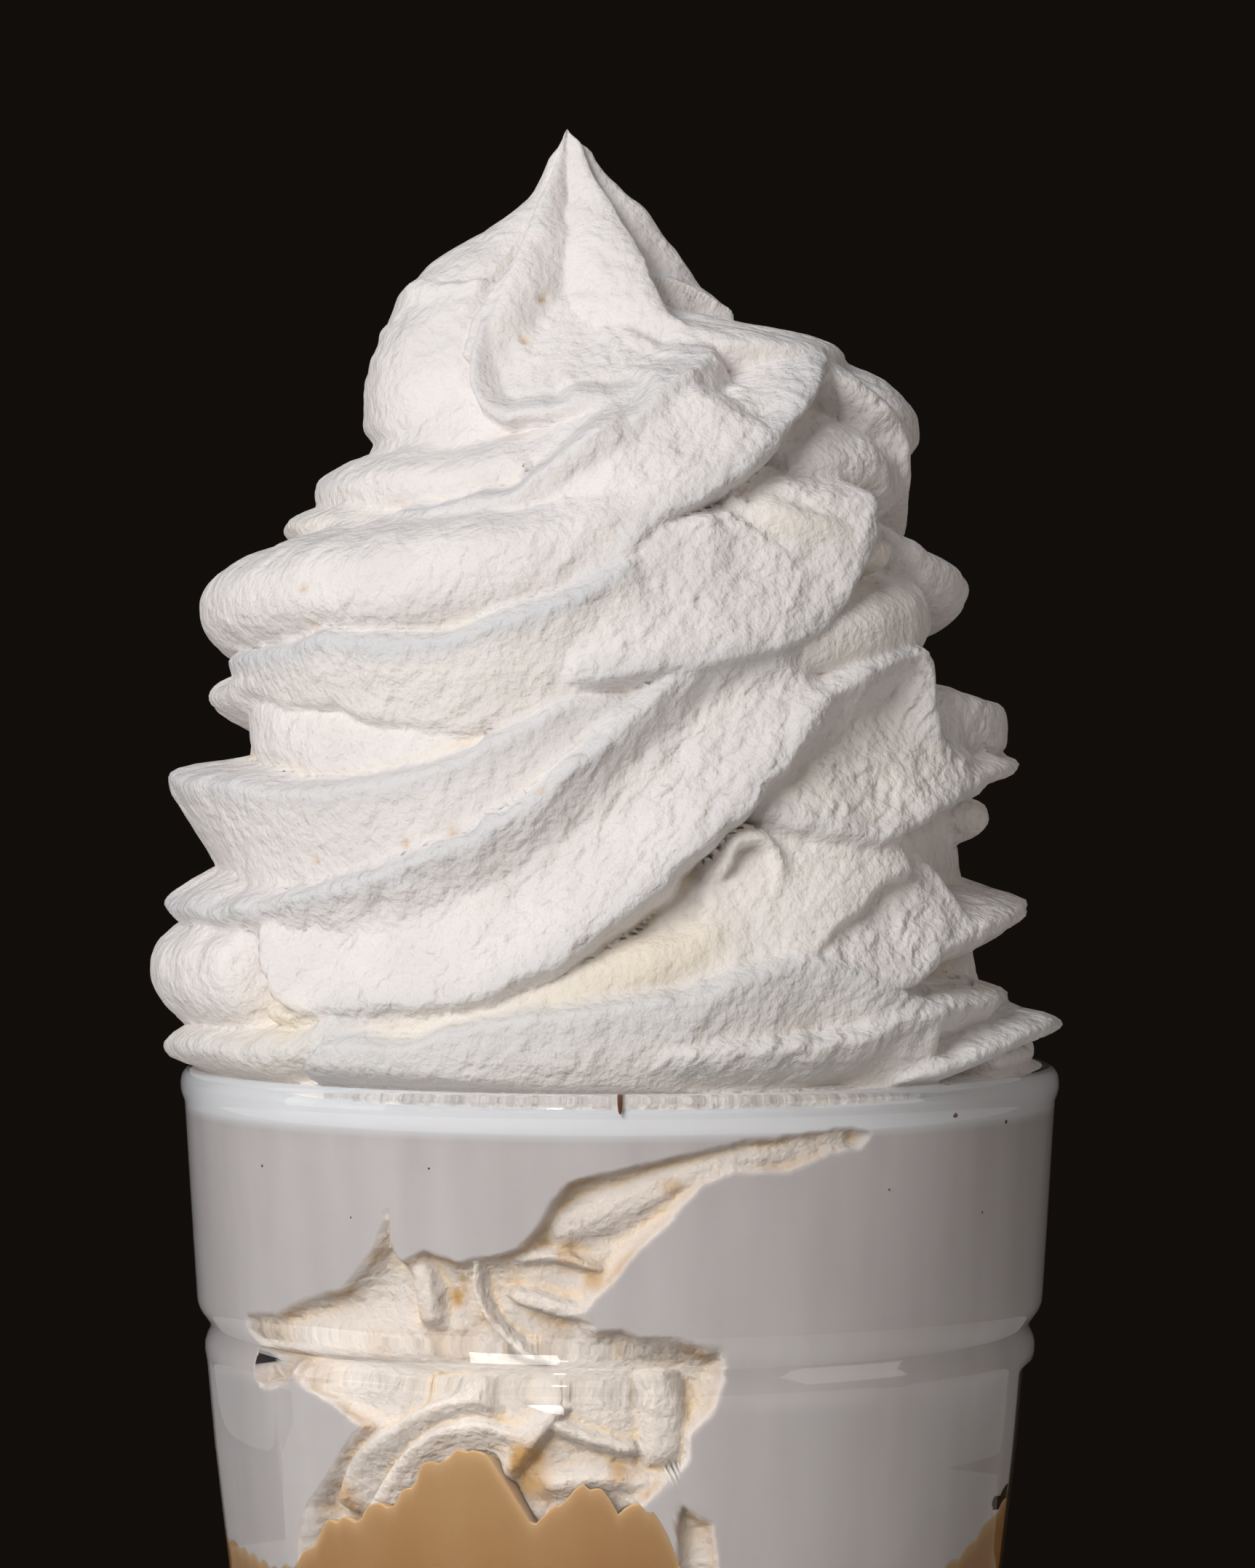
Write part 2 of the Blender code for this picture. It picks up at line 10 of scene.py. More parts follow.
import bpy
import numpy as np
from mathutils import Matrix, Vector


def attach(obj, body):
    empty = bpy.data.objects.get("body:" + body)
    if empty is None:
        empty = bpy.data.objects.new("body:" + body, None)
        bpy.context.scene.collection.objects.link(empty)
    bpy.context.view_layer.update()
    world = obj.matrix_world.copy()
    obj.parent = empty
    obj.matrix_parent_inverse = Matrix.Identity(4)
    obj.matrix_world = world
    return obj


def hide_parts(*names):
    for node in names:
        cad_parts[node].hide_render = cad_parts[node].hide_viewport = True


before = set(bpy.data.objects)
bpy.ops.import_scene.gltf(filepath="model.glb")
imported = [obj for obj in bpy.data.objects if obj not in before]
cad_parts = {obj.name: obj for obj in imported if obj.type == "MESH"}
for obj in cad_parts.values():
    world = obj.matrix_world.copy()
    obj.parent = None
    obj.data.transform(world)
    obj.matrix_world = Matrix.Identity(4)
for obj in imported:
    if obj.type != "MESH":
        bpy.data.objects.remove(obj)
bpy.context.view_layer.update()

MM = 0.001

# Glass, as in the frame.
GLASS_HEIGHT = 130.0
FLOOR_TOP = 9.0
INNER_FLOOR_RADIUS = 24.6
GROOVE_HEIGHT = 106.4
INNER_GROOVE_RADIUS = 35.3
INNER_RIM_HEIGHT = 128.4
INNER_RIM_RADIUS = 36.9
PANELS = 12
RIB_ANGLE = 9.0
RIB_HALF_ANGLE = 2.25
PANEL_TOP = 103.6
PANEL_FOOT = 5.0
HALF_WALL = 0.6          # a point this far out from the inner wall is on the outside
INTO_WALL = 0.12         # the contents reach this far into the glass

# Outline of the glass, up its outside, over the rim and down to the inner floor: (height, radius).
GLASS_OUTLINE = (
    (0.0, 8.0), (0.0, 22.5), (0.05, 24.0), (0.35, 25.2), (1.0, 26.0), (2.0, 26.5), (3.4, 26.8),
    (PANEL_FOOT, 27.0), (PANEL_FOOT + 0.7, 27.05), (20, 28.6), (36, 30.4), (52, 32.2), (68, 33.9),
    (84, 35.6), (96, 37.0), (PANEL_TOP - 0.6, 37.62), (PANEL_TOP, 37.7), (104.3, 37.82), (105.0, 37.8),
    (105.6, 37.6), (106.1, 37.35), (106.5, 37.3), (106.9, 37.45), (107.5, 37.9), (108.1, 38.3),
    (108.7, 38.5), (109.4, 38.55), (114, 38.85), (119, 39.15), (124, 39.45), (126.4, 39.6),
    (127.0, 39.66), (127.4, 39.85), (128.0, 40.0), (128.7, 40.0), (129.3, 39.85), (129.7, 39.55),
    (129.93, 39.1), (130.0, 38.7), (129.95, 38.3), (129.7, 37.8), (129.2, 37.3),
    (INNER_RIM_HEIGHT, INNER_RIM_RADIUS), (122, 36.44), (114, 35.86), (GROOVE_HEIGHT, INNER_GROOVE_RADIUS),
    (84, 32.9), (60, 30.3), (36, 27.6), (14, 25.1), (12, 24.7), (10.6, 24.0), (9.6, 22.6), (9.1, 20.5),
    (FLOOR_TOP, 8.0),
)

GLASS_SEGMENTS = (480, 240)
SWIRL_FRONT_STEP = (0.74, 2.0)
SWIRL_BACK_STEP = (1.25, 4.0)
SWIRL_ROWS = (140, 60)
CROWN_ROWS = (104, 40)
FILLING_STEP = (0.42, 1.5)
FILLING_ROWS = (150, 44)
COFFEE_STEP = (0.5, 1.5)

# Grids are finer within this angle of the front.
SWIRL_FRONT = 96.0
FILLING_FRONT = 75.0
COFFEE_FRONT = 70.0
FILLING_BACK_STEPS = 4   # columns behind are this many times as wide
COFFEE_BACK_STEPS = 2

# Whipped cream above the rim.
RIM_CONTACT_RADIUS = 38.9
RIM_OVERHANG = 4.2
OVERHANG_RISE = 1.1      # most of the overhang is reached within this height
RIM_GAP = 0.3            # the lowest row stands this far above the glass
CROWN_CENTRE = 184.0     # rows above fan out from here
CROWN_SAMPLES = 320
PEAK_HEIGHT = 215.2
PEAK_BLUNTNESS = 9.0     # greatest reach 1 mm below the peak
TIP_GAP = 0.15           # the last row stays this far below the peak
FALL = 4.0               # a strand's skin falls by this much over its width
END_WIDTH = 2.5          # and in this length past its ends
SPREAD = 16.0            # a strand is left out of places further than this above or below it
SPREAD_ANGLE = 50.0      # or further than this beside it
CORE_COVER = 3.0         # distances round the swirl are taken this far outside its core
STEP_ANGLE = 2.0
CREASE_FILL = 0.8        # creases between strands are rounded over this depth
OWN_FILL = {
    "broad_ribbon": 1.8, "inner_ribbon": 1.4, "flute_foot": 1.6, "right_spike": 1.4, "front_edge": 0.2,
    "low_edge": 0.25, "ribbon_edge": 0.3, "cone_front": 2.6, "peak_flank": 1.6, "hook": 0.5,
    "top_ribbon_edge": 0.3, "top_ribbon_tip": 0.3, "top_ribbon": 0.3, "sharp_ridge": 0.5,
}
SHEET_LIMIT = (15.0, 15.0)    # a sheet beside a crest ends this far from its start and its end
OWN_LIMIT = {
    "sharp_ridge": (12.0, 6.4), "right_ribbon": (12.0, 12.0), "top_ribbon_edge": (7.0, 7.0),
    "top_ribbon_tip": (6.0, 4.0), "flute_foot": (11.0, 11.0), "inner_ribbon": (9.0, 9.0),
    "ribbon_edge": (2.2, 9.8),
}
SHEET_END = 1.2          # the edge of a sheet is this wide
CREST_ROUND = 0.6        # sharp crests are rounded to a cord of about this radius
ROUND_BELOW_POWER = 1.5

# Middle of the swirl (height, place along X) and its bare core (height, radius).
LEAN = ((130, 0.0), (140, -1.0), (155, -2.4), (172, -3.0), (181, -1.0), (189, -1.0),
        (198, -4.4), (216, -4.8))
CORE = ((128, 34.0), (150, 32.5), (162, 30.5), (172, 27.5), (181, 24.0), (189, 20.2), (194, 15.4),
        (199, 10.0), (204, 6.3), (209, 3.1), (211, 2.1), (213, 1.1), (215.2, 0.0))

# Piped strands: crest points (angle, height, reach), then widths and powers above and below.
STRANDS = {
    "peak_left": (((-20, 213.6, 1.5), (-23, 210.0, 4.5), (-24, 207.0, 7.0), (-25, 204.0, 9.8),
        (-24, 201.5, 12.0), (-25, 199.0, 14.2), (-28, 196.5, 16.2)), (3.4, 1.8), (1.3, 1.5)),
    "peak_flank": (((-24, 204.5, 9.0), (-27, 201.5, 11.8), (-31, 198.8, 14.4), (-34, 196.4, 16.6),
        (-36, 194.0, 18.6)), (6.0, 2.0), (1.7, 1.5)),
    "cone_front": (((-6, 190.4, 19.8), (4, 190.6, 20.4), (12, 191.4, 20.6), (20, 192.6, 20.2)), (3.0, 4.0),
        (1.5, 2.0)),
    "hook": (((-22, 201.5, 11.4), (-24, 199.9, 13.0), (-28, 197.2, 15.8), (-32, 194.3, 18.6),
        (-32, 191.5, 20.7), (-30, 189.5, 22.2), (-24, 188.1, 23.2), (-17, 187.9, 23.8), (-7, 188.9, 24.1),
        (3, 189.6, 24.1), (11, 190.4, 23.8), (17, 191.6, 23.0)), (1.6, 1.6), (2.0, 2.0)),
    "peak_right": (((36, 212.9, 2.4), (31, 210.7, 4.2), (34, 208.3, 6.5), (33, 205.8, 9.0),
        (32, 203.4, 11.5), (31, 200.9, 13.9), (31, 199.2, 15.5), (31, 197.1, 17.6), (33, 195.7, 19.2)),
        (1.2, 5.0), (1.0, 1.2)),
    "peak_far": (((80, 212.5, 2.4), (82, 210.5, 3.9), (84, 208.5, 6.0), (85, 206.5, 7.9), (86, 204, 9.7),
        (86, 201.8, 11.1), (85, 199.8, 12.7), (80, 198, 15.0)), (3.0, 4.6), (1.5, 1.3)),
    "peak_west": (((-92, 212, 1.8), (-92, 209.8, 2.9), (-92, 208.0, 4.8), (-92, 206.2, 7.3),
        (-93, 204.5, 10.2), (-94, 203.0, 12.6), (-95, 201.4, 14.5), (-95, 200.0, 15.8), (-95, 198.2, 16.4),
        (-96, 196.5, 17.6)), (12.0, 9.0), (2.0, 2.0)),
    "peak_back": (((205, 212, 2.0), (200, 206, 7.2), (190, 200, 12.2), (175, 195, 17.0), (160, 192, 20.0)),
        (4.0, 4.0), (1.5, 1.5)),
    "shoulder": (((30, 194.3, 20.8), (39, 194.5, 22.8), (52, 194.4, 24.4), (64, 194.2, 24.4),
        (80, 194.5, 23.7), (95, 194.4, 23.1), (130, 195, 19.8), (170, 196.2, 16.4), (210, 198, 13.4)),
        (1.9, 3.6), (1.8, 1.8)),
    "top_lobe_right": (((70, 186.2, 27.0), (82, 186.8, 28.0), (105, 187.3, 28.0), (150, 188.4, 26.0),
        (180, 188.6, 24.6), (205, 188.6, 23.4)), (6.4, 3.0), (3.0, 2.4)),
    "top_lobe_left": (((195, 188.6, 23.6), (240, 188, 22.4), (275, 188.2, 22.4), (300, 188.4, 21.8),
        (318, 188.8, 19.8)), (7.6, 3.0), (1.6, 2.4)),
    "right_fold": (((56, 192.4, 25.4), (64, 190, 27.2), (70, 186.8, 28.2), (73, 183.4, 28.4),
        (76, 180.8, 27.8), (80, 178.4, 27.6)), (3.2, 3.2), (1.8, 1.8)),
    "upper_lobe": (((62, 176, 31.4), (78, 173.6, 34.0), (98, 173, 34.4), (150, 176.6, 32.6),
        (200, 179.8, 30.0), (240, 181.4, 27.4), (270, 181.8, 26.8), (300, 182.0, 27.2), (320, 182.2, 27.4),
        (335, 182.6, 27.2), (347, 183.8, 26.8), (355, 185.6, 26.2), (362, 187.6, 25.4)), (3.0, 4.0),
        (2.2, 2.4)),
    "small_lobe": (((-120, 178, 28.6), (-88, 178.7, 29.0), (-62, 178.8, 29.4), (-44, 178.3, 28.6)),
        (2.0, 2.2), (1.8, 1.8)),
    "top_ribbon_edge": (((-42, 178.3, 28.4), (-38, 179.5, 29.2), (-30, 179.7, 30.0), (-23, 180.0, 30.6),
        (-16, 180.9, 31.1), (-8, 183.7, 31.3), (-1, 186.4, 30.8)), (0.8, 7.0), (1.0, 1.2)),
    "top_ribbon_tip": (((1, 185.8, 30.0), (3, 187.0, 29.4), (7, 188.4, 28.6), (14, 190.8, 27.0),
        (21, 192.2, 25.2), (26, 193.2, 23.6)), (0.8, 7.0), (1.0, 1.2)),
    "top_ribbon": (((-38, 178.4, 28.8), (-23, 179.2, 30.0), (-13, 180.2, 30.4), (-4, 182.2, 30.6),
        (5, 184.2, 30.4), (13, 186.0, 29.4), (22, 187.6, 28.0), (30, 188.6, 27.0)), (2.0, 5.0), (2.0, 1.6)),
    "sharp_ridge": (((-8, 172.6, 34.2), (-2, 173.3, 34.8), (2, 174.3, 35.0), (6, 176.8, 34.4),
        (9, 178.8, 33.7), (14, 180.6, 32.9), (20, 182.6, 31.9), (27, 185.0, 31.0)), (7.0, 1.1), (1.0, 1.1)),
    "ridge_end": (((17, 181.6, 32.3), (20, 182.6, 31.9), (26, 184.8, 31.0), (34, 187.8, 29.4),
        (43, 190.4, 28.0), (49, 191.8, 26.8), (54, 193.0, 25.6)), (2.0, 1.1), (1.6, 1.1)),
    "right_hollow": (((37, 182.6, 27.4), (45, 183.5, 28.2), (56, 183.6, 28.6), (66, 182.2, 28.4)),
        (4.5, 4.5), (2.5, 2.5)),
    "ribbed_lobe": (((66, 162.0, 35.0), (74, 161.5, 36.6), (84, 160.9, 37.8), (104, 160.5, 37.8),
        (150, 164.0, 37.8), (186, 166.6, 37.2)), (3.0, 4.6), (4.0, 2.6)),
    "big_lobe": (((184, 166.4, 37.2), (210, 168, 36.8), (240, 169.4, 35.6), (270, 170.4, 34.8),
        (292, 171.2, 36.2), (318, 172.4, 37.2), (336, 173.0, 37.4), (350, 174.2, 36.6), (360, 176.4, 34.8),
        (368, 178.8, 32.8)), (5.2, 4.4), (3.2, 2.6)),
    "ribbon_edge": (((-66, 166.6, 34.8), (-55, 166.9, 35.9), (-44, 167.6, 36.9), (-37, 168.1, 37.5),
        (-30, 167.9, 37.8), (-19, 168.2, 38.2), (-14, 168.9, 38.3), (-10, 169.8, 38.3), (-5, 170.7, 38.1),
        (0, 172.3, 37.6), (4, 174.0, 36.8)), (1.6, 13.0), (2.0, 1.0)),
    "right_ribbon": (((0, 165.2, 37.8), (5, 165.5, 38.4), (12, 166.1, 38.1), (19, 166.8, 37.7),
        (24, 167.3, 37.3), (30, 168.5, 36.8), (38, 171.4, 36.0), (42, 174.4, 35.2), (45, 177.3, 34.2),
        (46, 179.8, 33.0)), (10.0, 1.1), (1.0, 1.1)),
    "smooth_sheet": (((24, 167.2, 35.4), (31, 167.8, 36.0), (39, 168.2, 36.0), (47, 168.8, 35.8),
        (56, 169.5, 35.0), (64, 170.4, 33.8)), (4.2, 3.5), (3.0, 3.0)),
    "bright_sheet": (((27, 178.8, 32.6), (31, 178.2, 33.4), (37, 177.4, 33.9), (44, 176.4, 34.1),
        (50, 175.8, 33.5)), (2.4, 2.0), (3.0, 3.0)),
    "under_ribbon": (((-66, 160.8, 33.2), (-58, 160.4, 34.4), (-48, 159.8, 34.8), (-38, 159.0, 35.0),
        (-27, 158.8, 35.1), (-16, 160.0, 35.2), (-8, 162.4, 35.2)), (5.0, 5.0), (3.0, 3.0)),
    "left_knob": (((82, 152.2, 35.6), (100, 153, 36.0), (140, 155, 37.0), (190, 158.5, 37.0),
        (240, 161.6, 35.4), (270, 163.2, 34.8), (288, 163.6, 34.6), (303, 164.6, 35.2)), (2.2, 2.4),
        (2.2, 2.0)),
    "front_fold": (((108, 145.6, 35.2), (114, 145.9, 36.6), (140, 147.5, 39.4), (200, 151.5, 39.4),
        (240, 154.2, 38.8), (270, 155.9, 38.6), (300, 155.6, 38.6), (312, 155.3, 38.8)), (1.4, 8.0),
        (2.4, 1.0)),
    "front_edge": (((300, 155.6, 38.6), (318, 155.1, 39.2), (330, 155.5, 39.5), (341, 157.3, 39.5),
        (350, 160.0, 38.9), (358, 162.5, 37.8), (366, 162.9, 36.4)), (1.4, 14.0), (2.4, 1.0)),
    "low_fold": (((112, 138.4, 35.0), (140, 139.5, 39.0), (200, 141.8, 40.0), (240, 143.5, 40.2),
        (270, 144.6, 40.0), (300, 144.5, 39.8), (312, 145.3, 39.8)), (2.2, 3.0), (1.1, 1.0)),
    "low_edge": (((304, 144.9, 39.8), (317, 145.9, 39.9), (330, 147.6, 40.4), (341, 150.2, 40.6),
        (350, 153.0, 40.6), (356, 156.0, 40.2), (363, 160.4, 39.2), (369, 163.7, 38.2), (374, 165.5, 37.3),
        (379, 166.5, 36.9), (385, 167.1, 36.5), (389, 167.3, 36.2)), (1.6, 4.4), (2.4, 1.0)),
    "broad_ribbon": (((-46, 137.4, 39.2), (-38, 136.6, 40.4), (-31, 137.1, 41.0), (-24, 137.5, 41.4),
        (-18, 137.9, 41.5), (-11, 139.6, 41.5), (-6, 141.2, 41.4), (-2, 143.2, 41.2), (3, 145.4, 41.0),
        (7, 147.5, 40.7), (11, 150.4, 40.3), (17, 153.0, 39.8), (22, 155.7, 39.2), (26, 158.1, 38.7),
        (30, 160.6, 38.2), (34, 162.8, 37.4)), (7.5, 1.1), (1.0, 1.0)),
    "torn_edge": (((-49, 142.8, 39.6), (-48, 140.8, 40.5), (-45.5, 139.4, 41.0), (-45.5, 137.8, 41.0),
        (-42, 136.8, 40.8), (-39, 136.2, 40.4)), (7.0, 0.9), (1.0, 1.1)),
    "inner_ribbon": (((6, 141.5, 38.0), (10, 139.8, 38.8), (15, 139.6, 39.3), (21, 140.0, 39.5),
        (25, 141.1, 39.6), (29, 143.5, 39.5), (34, 145.7, 39.2), (39, 147.6, 38.9), (44, 148.4, 38.5)),
        (11.0, 1.2), (1.0, 1.1)),
    "inner_hook": (((16.5, 149.2, 38.2), (18, 151.0, 38.4), (21, 151.6, 38.5), (24, 150.6, 38.4),
        (24.5, 148.6, 38.2), (23.5, 146.6, 38.0)), (1.2, 1.2), (2.0, 2.0)),
    "flute_top": (((30, 160.4, 36.4), (35, 163.1, 36.9), (39, 164.9, 36.8), (44, 166.0, 36.6),
        (50, 166.9, 36.4), (55, 167.2, 36.3), (56.5, 165.3, 36.5), (56.5, 162.7, 36.7), (56.5, 160.8, 36.9),
        (58.5, 159.0, 37.0)), (1.2, 5.0), (1.1, 1.0)),
    "flute_foot": (((24, 153.4, 37.6), (32, 152.2, 38.6), (38, 151.5, 38.8), (43, 151.6, 38.8),
        (48, 153.0, 38.7), (53, 153.9, 38.6), (60, 155.0, 38.4), (68, 155.8, 37.8)), (7.0, 1.2),
        (1.0, 1.1)),
    "white_knob": (((56, 155.0, 38.0), (64, 156.0, 38.4), (74, 156.8, 38.6), (88, 157.3, 38.7),
        (104, 157.2, 37.6)), (1.7, 1.5), (2.0, 2.0)),
    "right_spike": (((23, 140.3, 40.0), (28, 139.2, 40.4), (34, 138.4, 40.5), (40, 139.1, 40.4),
        (47, 141.4, 40.1), (54, 142.8, 39.6)), (8.0, 1.5), (1.0, 1.1)),
    "spike_tip": (((44, 140.8, 39.8), (55, 143.0, 39.8), (66, 144.2, 39.4), (80, 144.6, 38.7),
        (94, 144.7, 37.8)), (1.2, 2.0), (1.1, 1.3)),
    "right_roll": (((6, 133.2, 41.0), (13, 133.5, 41.7), (22, 133.7, 41.8), (30, 134.4, 41.7),
        (37, 135.6, 41.4), (43, 136.3, 41.1), (49, 136.6, 40.8), (57, 136.8, 40.2), (64, 137.2, 38.8),
        (72, 136.4, 37.0), (90, 135.8, 35.8)), (1.2, 3.5), (1.1, 1.5)),
    "left_bulge": (((122, 133.4, 38.6), (140, 134, 40.6), (200, 134.8, 41.5), (240, 136.4, 41.6),
        (262, 138, 41.6), (284, 138.6, 41.9), (304, 139, 41.0)), (5.0, 5.2), (2.4, 2.4)),
    "rim_roll": (((-104, 132.2, 40.6), (-84, 131.9, 41.4), (-72, 132.4, 41.3), (-59, 132.5, 41.2),
        (-50, 132.5, 41.2), (-42, 133.4, 41.0), (-37, 135.1, 40.6), (-33, 136.1, 40.3), (-26, 136.7, 40.0),
        (-17, 136.8, 39.6), (-8, 137.4, 39.2)), (2.4, 3.0), (2.0, 2.0)),
    "warm_hollow": (((-49, 135.7, 39.0), (-44, 135.9, 39.8), (-38, 136.2, 39.9), (-33, 136.5, 39.6)),
        (1.5, 1.5), (2.0, 2.0)),
    "warm_sheet": (((-34, 135.2, 39.9), (-22, 135.8, 40.1), (-10, 137.4, 40.1), (0, 139.6, 39.8),
        (8, 141.2, 39.4), (14, 142.6, 38.8)), (3.0, 3.0), (3.0, 3.0)),
    "front_roll": (((-40, 131.0, 41.2), (-39, 132.0, 41.9), (-37, 133.2, 42.3), (-32, 133.9, 42.3),
        (-25, 133.8, 42.2), (-19, 134.8, 42.1), (-12, 136.1, 42.0), (-3, 136.9, 42.0), (5, 137.6, 41.9),
        (13, 138.9, 41.6), (20, 140.1, 41.0), (25, 140.6, 40.6), (31, 140.0, 40.6), (35, 138.7, 40.8),
        (40, 137.3, 40.9), (44, 136.6, 41.0)), (1.0, 8.5), (1.1, 2.0)),
    "right_rope": (((40, 130.8, 40.8), (48, 132.3, 41.5), (58, 133.6, 41.8), (68, 134.3, 41.9),
        (76, 134.6, 41.4)), (1.3, 1.9), (2.0, 2.0)),
    "right_rim_roll": (((60, 131.4, 38.8), (90, 131.4, 37.9), (130, 131.6, 39.8), (180, 131.6, 40.4),
        (225, 131.8, 40.6), (258, 132.0, 40.8)), (2.2, 2.6), (2.0, 2.0)),
}

# How strongly the skin of each strand is wrinkled; the others take DEFAULT_CRINKLE.
DEFAULT_CRINKLE = 0.5
CRINKLE = {
    "peak_left": 0.05, "peak_flank": 0.1, "peak_right": 0.1, "peak_far": 0.3, "peak_west": 0.05,
    "peak_back": 0.2, "cone_front": 0.7, "hook": 0.1, "top_lobe_left": 0.05, "top_lobe_right": 0.6,
    "upper_lobe": 0.3, "shoulder": 0.05, "small_lobe": 0.3, "top_ribbon_edge": 0.6, "top_ribbon_tip": 0.6,
    "top_ribbon": 0.55, "sharp_ridge": 0.7, "under_ribbon": 0.45, "ridge_end": 0.7, "big_lobe": 0.45,
    "ribbed_lobe": 0.8, "white_knob": 0.05, "right_hollow": 0.6, "ribbon_edge": 0.6, "right_ribbon": 0.6,
    "smooth_sheet": 0.05, "bright_sheet": 0.05, "left_knob": 0.4, "front_fold": 0.35, "front_edge": 0.4,
    "low_fold": 0.6, "low_edge": 0.9, "broad_ribbon": 0.9, "inner_ribbon": 0.5, "inner_hook": 0.2,
    "flute_top": 0.9, "flute_foot": 0.8, "right_spike": 0.9, "spike_tip": 1.0, "right_roll": 1.0,
    "left_bulge": 0.45, "rim_roll": 0.3, "warm_sheet": 0.15, "front_roll": 0.55, "right_rope": 0.4,
    "right_rim_roll": 0.6,
}
CALM_CRINKLE = 0.1       # on the bare core above CALM_HEIGHT
CALM_HEIGHT = 199.0
RIGHT_CRINKLE = 0.25     # added between these angles, which it fades into
RIGHT_SIDE = (48.0, 140.0)
RIGHT_FADE = 15.0

# Painted warm light: how yellow the open skin of each strand is; the others are white.
PAINTED_WARMTH = {
    "warm_hollow": 1.2, "warm_sheet": 0.7, "rim_roll": 0.35, "inner_ribbon": 0.1, "inner_hook": 0.15,
    "bright_sheet": 0.3, "smooth_sheet": 0.15, "small_lobe": 0.25, "flute_foot": 0.15, "ribbon_edge": 0.1,
    "front_roll": 0.15, "right_roll": 0.25,
}
# Painted shade along the crests: how grey the cord along each crest is, and over what width.
CORD_SHADE = {
    "front_edge": 0.6, "front_fold": 0.6, "low_edge": 0.75, "low_fold": 0.7, "ribbon_edge": 0.9,
    "sharp_ridge": 0.6, "ridge_end": 0.6, "top_ribbon_edge": 0.35, "top_ribbon_tip": 0.3, "hook": 0.3,
    "right_ribbon": 0.6, "broad_ribbon": 0.5, "front_roll": 0.65, "right_roll": 0.5, "right_rope": 0.6,
    "flute_top": 0.5, "flute_foot": 0.5, "right_spike": 0.5, "rim_roll": 0.5,
}
CORD_SHADE_WIDTH = 1.3
OWN_CORD_SHADE_WIDTH = {"front_roll": 4.0, "right_roll": 3.0, "right_rope": 2.5}

# Relief of the skin.  Each field of noise has its own shift, so that no two are alike.
WRINKLE_TILT = 56.0      # wrinkles rise to the right at this angle in front
WRINKLE_DEPTH = 0.30
WRINKLE_PITCH = 1.9
WRINKLE_LENGTH = 4.4
WRINKLE_SOFTNESS = 0.18
WRINKLE_BENDS = ((4.5, 3.1, 2.0), (4.5, 13.7, 1.2))      # (size, shift, millimetres) along and across
WRINKLE_PATCHES = (8.0, 8.8, 0.8, 0.9, 0.2, 1.5)         # (size, shift, middle, swing, least, most)
LUMP_DEPTH = 0.22
LUMP_FIELD = (3.6, 40.2)                                 # (size, shift)
GRAIN_DEPTH = 0.08
GRAIN_FIELD = (1.5, 17.9)
CALM_LUMPS = 0.3         # share of the lumps and of the grain that calm skin keeps
CALM_GRAIN = 0.35
FOLD_LEVEL = 0.3         # wrinkles and grain sink the skin below this value and raise it above
RAGGED = 0.34            # ridge lines wander by this much
RAGGED_SIZE = 2.6
RAGGED_SHIFTS = ((5.3, 11.9), (21.7, 31.1))              # coarse and fine, round and up
FINE_RAGGED = 0.4        # the fine part of it, and how many times finer it is
FINE_RAGGED_TIMES = 2.3
STILL_RIM = 3.0          # ridge lines start to wander over this height above the rim
STILL_PEAK = (214.0, 14.0, 0.15)     # and wander less below the peak: (height, over, least)
RELIEF_RISE = (0.6, 2.0)             # relief grows above the rim: (from, over)
RELIEF_PEAK = (0.5, 6.0, 0.1)        # and fades to the peak: (past, over, least)

# Small holes in the skin: (angle, height, radius).
PINHOLES = ((-25, 151, 0.36), (-18, 152, 0.40), (-6, 155.6, 0.34), (-40, 149.3, 0.36), (-41, 172.8, 0.40),
            (-41, 169.6, 0.30), (-12, 198.9, 0.34), (-20, 195.1, 0.36))
PINHOLE_DEPTH = 0.35
# the pinholes get a painted warm shade of this strength
PINHOLE_SHADE = 0.6

# Lower end of the swirl, that rests in the glass's lip: (height, radius).
SWIRL_FOOT = ((126.6, 36.3), (128.0, 36.6), (128.5, 36.98), (129.2, 37.42), (129.7, 37.92), (129.97, 38.45))

# Creases: how many times the skin is softened to find them, and the depth that counts as 1.
SWIRL_CREASES = (14, 0.55)
FILLING_CREASES = (18, 0.36)
DEEPEST_CREASE = 2.0

# How many times other values on the grids are softened.
CREASE_PASSES = 2
CRINKLE_PASSES = 3
PAINTED_WARMTH_PASSES = 16
CORD_SHADE_PASSES = 1
PRESSED_PASSES = 1
RELIEF_PASSES = 2        # the skin under the relief, for the way that it stands out

